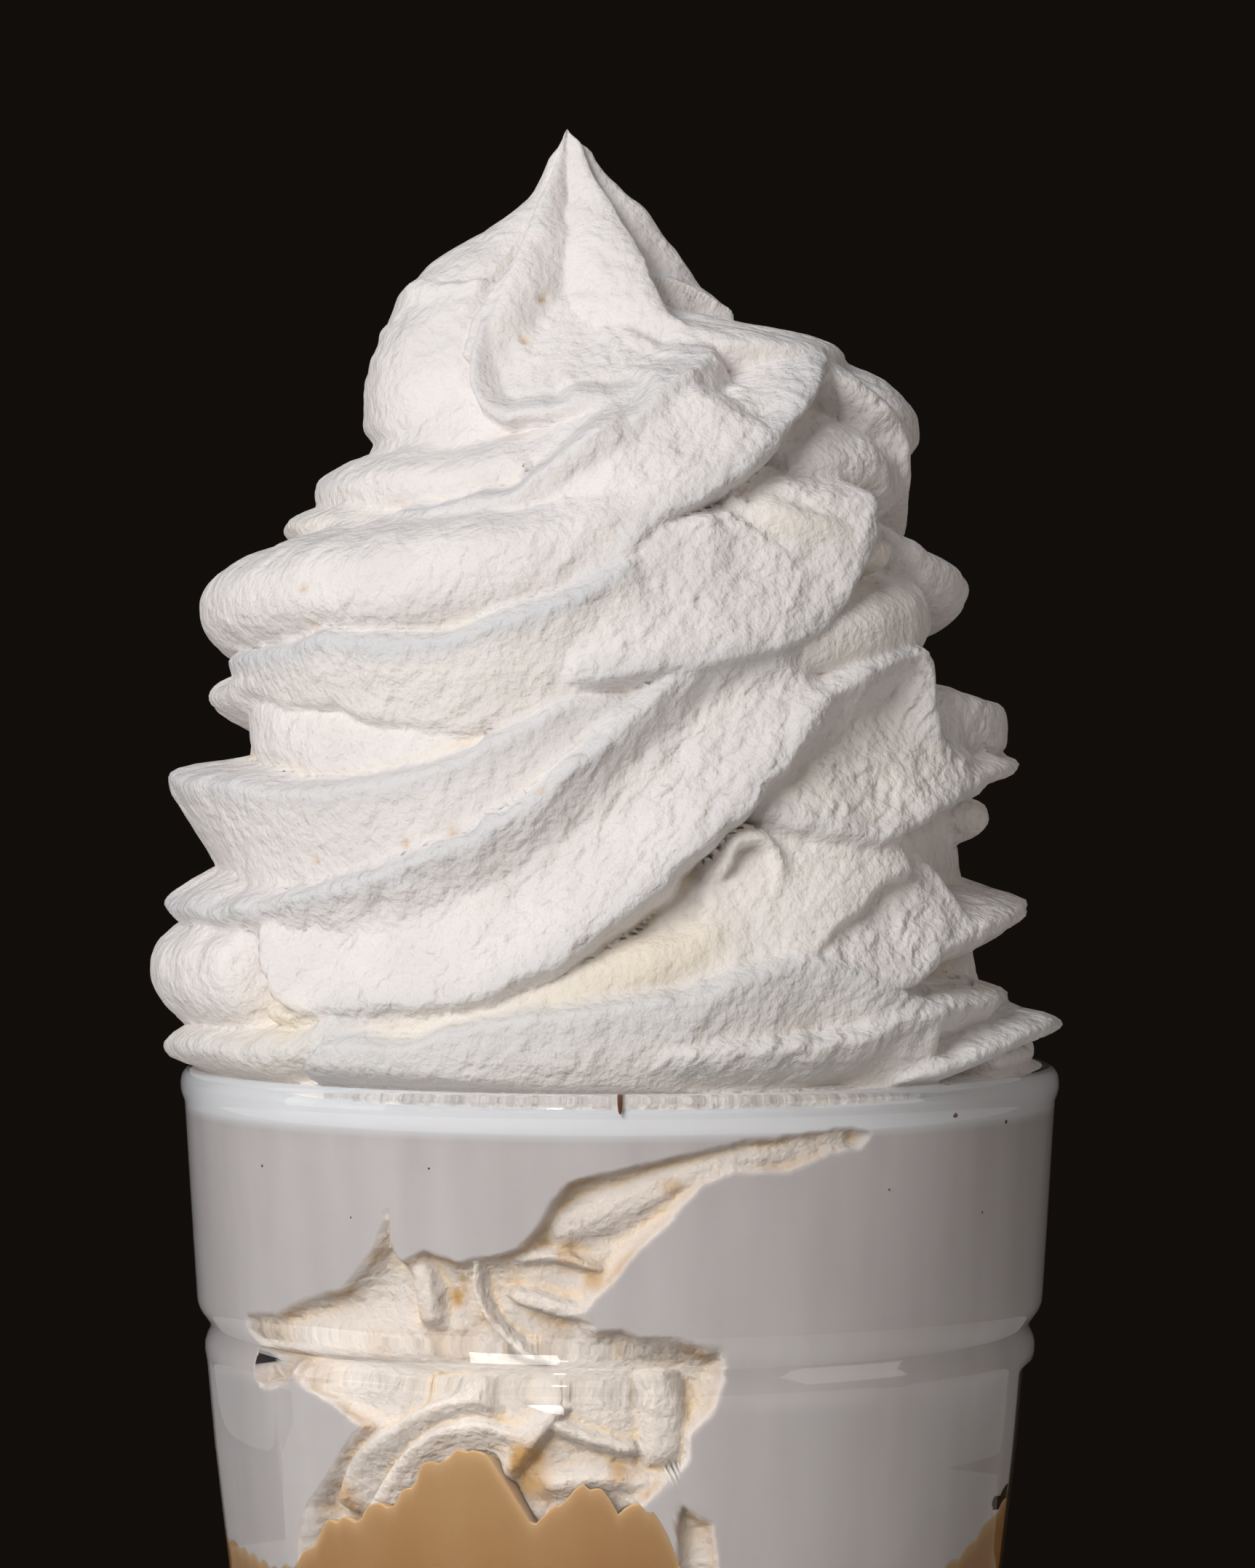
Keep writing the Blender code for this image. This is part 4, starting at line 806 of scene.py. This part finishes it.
def build_swirl(finish):
    """The cream above the rim: a foot in the glass, rings up to the crown, then rows fanned to the peak."""
    angles = column_angles(SWIRL_FRONT, detail(SWIRL_FRONT_STEP), detail(SWIRL_BACK_STEP))
    heights = np.linspace(GLASS_HEIGHT + RIM_GAP, CROWN_CENTRE, detail(SWIRL_ROWS))
    reach, *looks = swirl_surface(angles, heights)
    body = points_at(angles[:, None], reach, heights[None, :], table(LEAN, heights)[None, :])
    crown = crown_rows(angles, detail(CROWN_ROWS))
    points = np.concatenate([body, crown[0]], axis=1)
    crinkle, painted_warmth, cord = [np.concatenate(pair, axis=1) for pair in zip(looks, crown[1:])]
    crinkle = blurred(crinkle, CRINKLE_PASSES)
    rise_from, rise_over = RELIEF_RISE
    peak_past, peak_over, least = RELIEF_PEAK
    settled = (faded(points[..., 2], GLASS_HEIGHT + rise_from, rise_over)
               * faded(points[..., 2], PEAK_HEIGHT + peak_past, -peak_over, least))
    holes = pinholes(points)
    relief = skin_relief(points, crinkle) * settled - PINHOLE_DEPTH * holes
    points = points + grid_normals(blurred(points, RELIEF_PASSES)) * relief[..., None]
    foot = [points_at(angles, radius, height) for height, radius in SWIRL_FOOT]
    points = np.concatenate([np.stack(foot, axis=1), points], axis=1)
    attributes = {"crease": blurred(crease_depths(points, *SWIRL_CREASES), CREASE_PASSES)}
    # Painted warmth, painted cord shade, and painted shade in the pinholes.
    looks = {"crinkle": crinkle * settled, "painted_warmth": blurred(painted_warmth, PAINTED_WARMTH_PASSES),
             "cord": blurred(cord, CORD_SHADE_PASSES), "stain_and_pit_shade": PINHOLE_SHADE * holes}
    for label, values in looks.items():
        attributes[label] = np.concatenate([np.repeat(values[:, :1], len(foot), axis=1), values], axis=1)
    tip = (float(table(LEAN, PEAK_HEIGHT)), 0.0, PEAK_HEIGHT)
    return grid_piece("cream_swirl", points, finish, attributes, tip)


def pocket_depths(angle, height):
    """How far the filling stands back from the glass on a grid of places, and how far a pocket's rim is."""
    depth = np.zeros(angle.shape)
    rim = np.full(angle.shape, np.inf)
    scale = np.radians(wall_radius(height))
    for outline, deepest in POCKETS:
        centre = sum(point[0] for point in outline) / len(outline)
        turned = turn_from(angle, centre) + centre
        inside = np.zeros(angle.shape, bool)
        nearest = np.full(angle.shape, np.inf)
        for (a0, h0), (a1, h1) in zip(outline, outline[1:] + outline[:1]):
            if h0 != h1:
                crossing = a0 + (height - h0) / (h1 - h0) * (a1 - a0)
                inside ^= ((h0 > height) != (h1 > height)) & (turned < crossing)
            x0, x1, x = a0 * scale, a1 * scale, turned * scale
            length = (x1 - x0) ** 2 + (h1 - h0) ** 2
            t = np.clip(((x - x0) * (x1 - x0) + (height - h0) * (h1 - h0)) / length, 0.0, 1.0)
            nearest = np.minimum(nearest, np.hypot(x - x0 - t * (x1 - x0), height - h0 - t * (h1 - h0)))
        depth = np.maximum(depth, np.where(inside, deepest * (1.0 - np.exp(-nearest / POCKET_LIP)), 0.0))
        rim = np.minimum(rim, nearest)
    return depth, rim


def coffee_top(angle):
    """Height of the coffee layer's scalloped edge on the glass."""
    first, height = COFFEE_TOP[0]
    turned = (angle - first) % 360.0 + first
    top = table(COFFEE_TOP + ((first + 360, height),), turned)
    slope, half_width, share = SMOOTH_SLOPE
    scalloped = 1.0 - share * np.exp(-((turned - slope) / half_width) ** 4)
    swing, slow = SCALLOP_WANDER
    wave = np.abs(np.sin(np.pi * turned / SCALLOP_PITCH + swing * np.sin(turned / slow)))
    return top + scalloped * SCALLOP_RISE * wave


def pocket_stains(angle, height, rim, places):
    """Strength of the stains on a grid: along the rims of the pockets, and in patches in the front one."""
    stain_and_pit_shade = STAINED_EDGE * patches(places, *EDGE_PATCHES) * np.exp(-(rim / STAINED_EDGE_WIDTH) ** 2)
    patchy = patches(places, *STAIN_PATCHES)
    for middle, level, half_width, half_height, strength in STAINS:
        sideways, upwards = turn_from(angle, middle) / half_width, (height - level) / half_height
        stain_and_pit_shade = np.maximum(stain_and_pit_shade, strength * patchy * np.exp(-sideways ** 4 - upwards ** 4))
    return np.clip(stain_and_pit_shade, 0.0, 1.0)


def build_filling(finish):
    """The cream inside the glass, from the coffee up to the rim."""
    step = detail(FILLING_STEP)
    angles = column_angles(FILLING_FRONT, step, FILLING_BACK_STEPS * step)
    tops = coffee_top(angles) - UNDER_EDGE
    shares = np.linspace(0.0, 1.0, detail(FILLING_ROWS))
    height = tops[:, None] + (FILLING_TOP - tops[:, None]) * shares[None, :]
    angle = np.broadcast_to(angles[:, None], height.shape)
    wall = wall_radius(height)
    turn = np.radians(angle)
    places = [MIDDLE_RADIUS * np.sin(turn), MIDDLE_RADIUS * np.cos(turn), height]
    wander = layered(places, OUTLINE_WANDER)
    depth, rim = pocket_depths(angle + wander / np.radians(MIDDLE_RADIUS), height + UPWARD_WANDER * wander)
    floor = wall - depth + faded(depth, 0.0, LUMPY_DEPTH) * layered(places, POCKET_LUMPS)
    merged = merged_strands(INNER_STRANDS, floor, angle, height, wall, INNER_FILL)[0]
    sunk = np.minimum(merged, wall - np.minimum(depth, CLEARANCE[0] + CLEARANCE[1] * depth))
    reach = np.where(depth > OPEN_DEPTH, sunk, wall + INTO_WALL)
    reach = reach - BEHIND_COFFEE * (height < tops[:, None] + BEHIND_HEIGHT)
    points = points_at(angle, reach, height)
    pressed = blurred((depth < OPEN_DEPTH).astype(float), PRESSED_PASSES)
    looks = {"crease": crease_depths(points, *FILLING_CREASES) * (1.0 - pressed), "pressed": pressed,
             "stain_and_pit_shade": pocket_stains(angle, height, rim, places) * (1.0 - pressed)}
    ends = [points_at(angles, FILLING_END_RADIUS, level)[:, None] for level in (tops, FILLING_TOP)]
    points = np.concatenate([ends[0], points, ends[1]], axis=1)
    pad = np.zeros((len(angles), 1))
    attributes = {label: np.concatenate([pad, values, pad], axis=1) for label, values in looks.items()}
    return grid_piece("cream_filling", points, finish, attributes)


def build_coffee(finish):
    """The milky coffee, reaching just into the glass, with its scalloped top."""
    step = detail(COFFEE_STEP)
    angles = column_angles(COFFEE_FRONT, step, COFFEE_BACK_STEPS * step)
    tops = coffee_top(angles)
    rings = [points_at(angles, radius, height - INTO_WALL) for height, radius in COFFEE_FOOT]
    for share in COFFEE_SHARES:
        height = COFFEE_WALL_FOOT + (tops - COFFEE_WALL_FOOT) * share
        rings.append(points_at(angles, wall_radius(height) + INTO_WALL + OVER_FILLING, height))
    for inward, rise in COFFEE_SURFACE:
        rings.append(points_at(angles, wall_radius(tops) - inward, tops + rise))
    points = np.stack(rings, axis=1)
    below = np.maximum(tops[:, None] - points[..., 2], 0.0)
    return grid_piece("coffee", points, finish, {"edge": np.exp(-(below / PALE_EDGE) ** 1.5)})


def turned_piece(name, outline, segments, finish):
    """A circle drawn up through (height, radius) rings, closed at both middles."""
    bpy.ops.object.select_all(action="DESELECT")
    bpy.ops.mesh.primitive_circle_add(vertices=segments, radius=outline[0][1] * MM, location=(0, 0, 0))
    piece = bpy.context.object
    piece.name = name
    bpy.ops.object.mode_set(mode="EDIT")
    bpy.ops.mesh.select_all(action="SELECT")
    bpy.ops.mesh.extrude_edges_move()
    bpy.ops.mesh.merge(type="CENTER")
    bpy.ops.mesh.select_all(action="DESELECT")
    bpy.ops.mesh.select_non_manifold(extend=False)
    for (height, radius), (next_height, next_radius) in zip(outline, outline[1:]):
        bpy.ops.mesh.extrude_edges_move(TRANSFORM_OT_translate={"value": (0, 0, (next_height - height) * MM)})
        grow = next_radius / radius
        bpy.ops.transform.resize(value=(grow, grow, 1.0), center_override=(0, 0, next_height * MM))
    bpy.ops.mesh.extrude_edges_move()
    bpy.ops.mesh.merge(type="CENTER")
    bpy.ops.mesh.select_all(action="SELECT")
    bpy.ops.mesh.normals_make_consistent(inside=False)
    bpy.ops.object.mode_set(mode="OBJECT")
    bpy.ops.object.shade_smooth()
    piece.data.materials.append(finish)
    return piece


def flatten_panels(piece):
    """Presses the flat panels between the ribs into the glass's body."""
    pitch = 360.0 / PANELS
    half = math.radians(pitch / 2)
    rib = math.radians(RIB_HALF_ANGLE)
    for vert in piece.data.vertices:
        height = vert.co.z / MM
        radius = math.hypot(vert.co.x, vert.co.y) / MM
        outside = radius > wall_radius(height) + HALF_WALL
        if not outside or not PANEL_FOOT <= height <= PANEL_TOP - 0.1:
            continue
        angle = math.degrees(math.atan2(vert.co.x, -vert.co.y))
        across = abs(math.radians((angle - RIB_ANGLE) % pitch) - half)
        if across < half - rib:
            flat = math.cos(half - rib) / math.cos(across)
            vert.co.x *= flat
            vert.co.y *= flat


def build_glass(finish):
    """The tumbler, which casts no shadow on what it holds."""
    piece = turned_piece("tumbler", GLASS_OUTLINE, detail(GLASS_SEGMENTS), finish)
    flatten_panels(piece)
    piece.visible_shadow = False
    return piece


def build_specks(finish):
    """A drip and a few specks of coffee that cling to the inside of the glass."""
    bpy.ops.object.select_all(action="DESELECT")
    dots = []
    for angle, height, half_width, half_height in SPECKS:
        radius = float(wall_radius(height)) + SPECK_OUT if height < INNER_RIM_HEIGHT else RIM_SPECK_RADIUS
        spot = points_at(angle, radius, height) * MM
        bpy.ops.mesh.primitive_uv_sphere_add(segments=20, ring_count=12, radius=MM, location=spot.tolist(),
                                             rotation=(0.0, 0.0, math.radians(angle)))
        dot = bpy.context.object
        dot.scale = (half_width, SPECK_THICKNESS, half_height)
        dots.append(dot)
    for dot in dots:
        dot.select_set(True)
    bpy.ops.object.join()
    bpy.ops.object.transform_apply(location=True, rotation=True, scale=True)
    piece = bpy.context.object
    piece.name = "coffee_specks"
    bpy.ops.object.shade_smooth()
    piece.data.materials.append(finish)
    return piece


def new_finish(name, colour, roughness, **sockets):
    """A Principled material: the material, its tree and its shader."""
    made = bpy.data.materials.new(name)
    made.use_nodes = True
    shader = made.node_tree.nodes["Principled BSDF"]
    shader.inputs["Base Color"].default_value = (*colour, 1.0)
    shader.inputs["Roughness"].default_value = roughness
    for socket, value in sockets.items():
        shader.inputs[socket.replace("_", " ")].default_value = value
    return made, made.node_tree, shader


def add_node(tree, kind, **inputs):
    """A node of `kind` with its inputs set by name, each to a value or from a socket."""
    node = tree.nodes.new("ShaderNode" + kind)
    for label, value in inputs.items():
        socket = node.inputs[label.replace("_", " ")]
        if isinstance(value, bpy.types.NodeSocket):
            tree.links.new(value, socket)
        else:
            socket.default_value = value
    return node


def mixed_colour(tree, factor, one, other):
    """A colour between two colours or sockets, by a factor socket."""
    node = tree.nodes.new("ShaderNodeMix")
    node.data_type = "RGBA"
    tree.links.new(factor, node.inputs["Factor"])
    for slot, value in ((6, one), (7, other)):
        if isinstance(value, tuple):
            node.inputs[slot].default_value = (*value, 1.0)
        else:
            tree.links.new(value, node.inputs[slot])
    return node.outputs[2]


def ranged(tree, value, low, high, to_low=0.0, to_high=1.0):
    """A socket remapped from low..high to to_low..to_high, held at both ends."""
    node = add_node(tree, "MapRange", Value=value, From_Min=low, From_Max=high, To_Min=to_low, To_Max=to_high)
    return node.outputs["Result"]


def combined(tree, operation, one, other):
    """The product or the larger of two sockets."""
    node = tree.nodes.new("ShaderNodeMath")
    node.operation = operation
    tree.links.new(one, node.inputs[0])
    tree.links.new(other, node.inputs[1])
    return node.outputs[0]


def attribute(tree, name):
    """One of the piece's own attributes; a piece that has none of that name reads 0."""
    node = tree.nodes.new("ShaderNodeAttribute")
    node.attribute_name = name
    return node.outputs["Fac"]


def place_socket(tree):
    """A point's place on the object, in metres."""
    return tree.nodes.new("ShaderNodeTexCoord").outputs["Object"]


def height_socket(tree, place):
    """Height above the floor, in metres."""
    return add_node(tree, "SeparateXYZ", Vector=place).outputs["Z"]


def texture(tree, place, settings):
    """The value of a noise texture at a place."""
    return add_node(tree, "TexNoise", Vector=place, **settings).outputs["Fac"]


def streaky_texture(tree, place, settings, stretch):
    """The value of a noise texture that is drawn out up and down the piece."""
    stretched = add_node(tree, "Mapping", Vector=place, Scale=(1.0, 1.0, stretch))
    return texture(tree, stretched.outputs["Vector"], settings)


def fine_wrinkles(tree, place):
    """Height of soft wrinkles that rise to the right in front."""
    wander = add_node(tree, "TexNoise", Vector=place, **WANDER_TEXTURE)
    shifted = tree.nodes.new("ShaderNodeVectorMath")
    shifted.operation = "MULTIPLY_ADD"
    shifted.inputs[1].default_value = [FINE_WRINKLE_WANDER] * 3
    tree.links.new(wander.outputs["Color"], shifted.inputs[0])
    tree.links.new(place, shifted.inputs[2])
    turned = add_node(tree, "Mapping", Vector=shifted.outputs[0],
                      Rotation=(0.0, math.radians(WRINKLE_TILT), 0.0))
    stretched = add_node(tree, "Mapping", Vector=turned.outputs[0], Scale=(
        1.0 / FINE_WRINKLE_LENGTH, 1.0 / FINE_WRINKLE_LENGTH, 1.0 / FINE_WRINKLE_PITCH))
    return texture(tree, stretched.outputs[0], WRINKLE_TEXTURE)


def skin_colour(tree, place, light, pale, painted_warm, creases):
    """The cream's colour: mottled, with painted warm light in creases and on warm strands, painted brown
    shade in deep creases, painted grey shade along cords, stains, and painted shade in the pinholes.
    """
    def tone(colour, lighter=1.0):
        return tuple(lighter * part * light for part in colour)

    mottle = ranged(tree, texture(tree, place, MOTTLE_TEXTURE), *MIDDLE_NOISE)
    skin = mixed_colour(tree, mottle, tone(pale), tone(pale, MOTTLE))
    # Painted warm light in creases and on warm strands, then painted brown shade in deep creases.
    crease = attribute(tree, "crease")
    start, full, share = creases
    depth = ranged(tree, crease, start, full, 0.0, share)
    skin = mixed_colour(tree, combined(tree, "MAXIMUM", depth, attribute(tree, "painted_warmth")), skin, tone(painted_warm))
    start, full, share = BROWN_CREASE_SHADE
    skin = mixed_colour(tree, ranged(tree, crease, start, full, 0.0, share), skin, tone(CREASE_SHADE_BROWN))
    # Painted grey shade along the cords.
    skin = mixed_colour(tree, attribute(tree, "cord"), skin, tone(CORD_SHADE_GREY))
    # Stains, and painted warm shade in the pinholes.
    return mixed_colour(tree, attribute(tree, "stain_and_pit_shade"), skin, tone(STAIN_AND_PIT_SHADE_BROWN))


def pressed_colour(tree, place):
    """Colour of cream that is pressed against the glass: smeared up and down, with a painted pale sheen in
    the thick lip.
    """
    smears = ranged(tree, streaky_texture(tree, place, SMEAR_TEXTURE, SMEAR_STRETCH), *MIDDLE_NOISE)
    # Painted sheen of the glass's lip.
    in_lip = ranged(tree, height_socket(tree, place), *LIP_START)
    return mixed_colour(tree, in_lip, mixed_colour(tree, smears, *SMEARS), PAINTED_LIP_SHEEN)


def skin_normal(tree, place, bumps, wrinkled):
    """Grain and bumps where nothing presses on the cream, and fine wrinkles over them in the open."""
    open_skin = ranged(tree, attribute(tree, "pressed"), 0.0, 1.0, 1.0, 0.0)
    crinkle = attribute(tree, "crinkle")
    rough = combined(tree, "MULTIPLY", open_skin, ranged(tree, crinkle, 0.0, 1.0, *SKIN_ROUGH))
    fine = add_node(tree, "Bump", Distance=GRAIN_BUMP, Strength=rough,
                    Height=texture(tree, place, GRAIN_TEXTURE))
    skin = add_node(tree, "Bump", Distance=bumps, Strength=rough, Height=texture(tree, place, BUMP_TEXTURE),
                    Normal=fine.outputs["Normal"])
    if wrinkled:
        folds = combined(tree, "MULTIPLY", fine_wrinkles(tree, place), crinkle)
        skin = add_node(tree, "Bump", Distance=FINE_WRINKLE_BUMP, Strength=1.0, Height=folds,
                        Normal=skin.outputs["Normal"])
    return skin.outputs["Normal"]


def cream_finish(name, light, pale, painted_warm, creases, shine, bumps, wrinkled):
    """Cream; `light` scales its colours, 1 in the open and less behind glass, where it is painted shade."""
    flat = tuple(part * light for part in CREAM_FLAT)
    made, tree, shader = new_finish(name, flat, CREAM_ROUGHNESS, Specular_IOR_Level=shine, **CREAM_SHADER)
    place = place_socket(tree)
    skin = skin_colour(tree, place, light, pale, painted_warm, creases)
    colour = mixed_colour(tree, attribute(tree, "pressed"), skin, pressed_colour(tree, place))
    tree.links.new(colour, shader.inputs["Base Color"])
    tree.links.new(skin_normal(tree, place, bumps, wrinkled), shader.inputs["Normal"])
    return made


def coffee_finish():
    """Milky coffee: deeper in colour lower down, streaked, and paler along its edge."""
    made, tree, shader = new_finish("milky_coffee", COFFEE_FLAT, COFFEE_ROUGHNESS, **COFFEE_SHADER)
    place = place_socket(tree)
    raised = ranged(tree, height_socket(tree, place), *COFFEE_RANGE)
    shade = mixed_colour(tree, raised, COFFEE_LOW, COFFEE_HIGH)
    clouds = ranged(tree, streaky_texture(tree, place, CLOUD_TEXTURE, CLOUD_STRETCH), *COFFEE_STREAKS)
    streaked = mixed_colour(tree, clouds, shade, COFFEE_STREAK)
    edge = ranged(tree, attribute(tree, "edge"), 0.0, 1.0, 0.0, EDGE_SHARE)
    tree.links.new(mixed_colour(tree, edge, streaked, COFFEE_EDGE), shader.inputs["Base Color"])
    return made


def build_floor():
    """The pale round floor that the glass stands on."""
    bpy.ops.object.select_all(action="DESELECT")
    bpy.ops.mesh.primitive_circle_add(vertices=96, radius=FLOOR_RADIUS, fill_type="NGON", location=(0, 0, 0))
    floor = bpy.context.object
    floor.name = "pale_floor"
    floor.data.materials.append(new_finish("pale_floor", FLOOR_COLOUR, FLOOR_ROUGHNESS)[0])


def light_scene():
    """Soft square lights turned to the swirl, before a nearly black backdrop."""
    for name, (place, size, power, colour) in LIGHTS.items():
        lamp = bpy.data.lights.new(name, "AREA")
        lamp.size = size
        lamp.energy = power
        lamp.color = colour
        holder = bpy.data.objects.new(name, lamp)
        bpy.context.scene.collection.objects.link(holder)
        holder.location = place
        holder.rotation_euler = (Vector(LIGHTS_AIM) - Vector(place)).to_track_quat("-Z", "Y").to_euler()
        holder.visible_glossy = name != NOT_MIRRORED
    world = bpy.data.worlds.new("backdrop")
    world.use_nodes = True
    background = world.node_tree.nodes["Background"]
    background.inputs["Color"].default_value = (*BACKDROP, 1.0)
    background.inputs["Strength"].default_value = 1.0
    bpy.context.scene.world = world
    bpy.context.scene.view_settings.view_transform = "Standard"


def place_camera():
    """The photograph's view, level with the swirl and a little down."""
    lens = bpy.data.cameras.new("camera")
    lens.sensor_width = SENSOR
    lens.lens = SENSOR * FOCAL_PIXELS / PICTURE_HEIGHT
    lens.clip_start = CAMERA_NEAR
    holder = bpy.data.objects.new("camera", lens)
    bpy.context.scene.collection.objects.link(holder)
    holder.location = CAMERA_PLACE
    holder.rotation_euler = (math.radians(90.0) - math.atan(HORIZON_PIXELS / FOCAL_PIXELS), 0.0, 0.0)
    bpy.context.scene.camera = holder


def dress(piece, node):
    """Puts a finished piece on the object in place of a CAD node."""
    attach(piece, "root")
    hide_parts(node)


open_cream = cream_finish("whipped_cream", **OPEN_CREAM)
cream_in_glass = cream_finish("cream_in_glass", **CREAM_IN_GLASS)
speck_finish = new_finish("coffee_speck", SPECK_COLOUR, SPECK_ROUGHNESS)[0]
clear_glass = new_finish("clear_glass", GLASS_COLOUR, GLASS_ROUGHNESS, **GLASS_SHADER)[0]

dress(build_swirl(open_cream), "whipped_cream")
dress(build_filling(cream_in_glass), "whipped_cream")
dress(build_coffee(coffee_finish()), "coffee_layer")
dress(build_specks(speck_finish), "coffee_layer")
dress(build_glass(clear_glass), "glass")
build_floor()
light_scene()
place_camera()
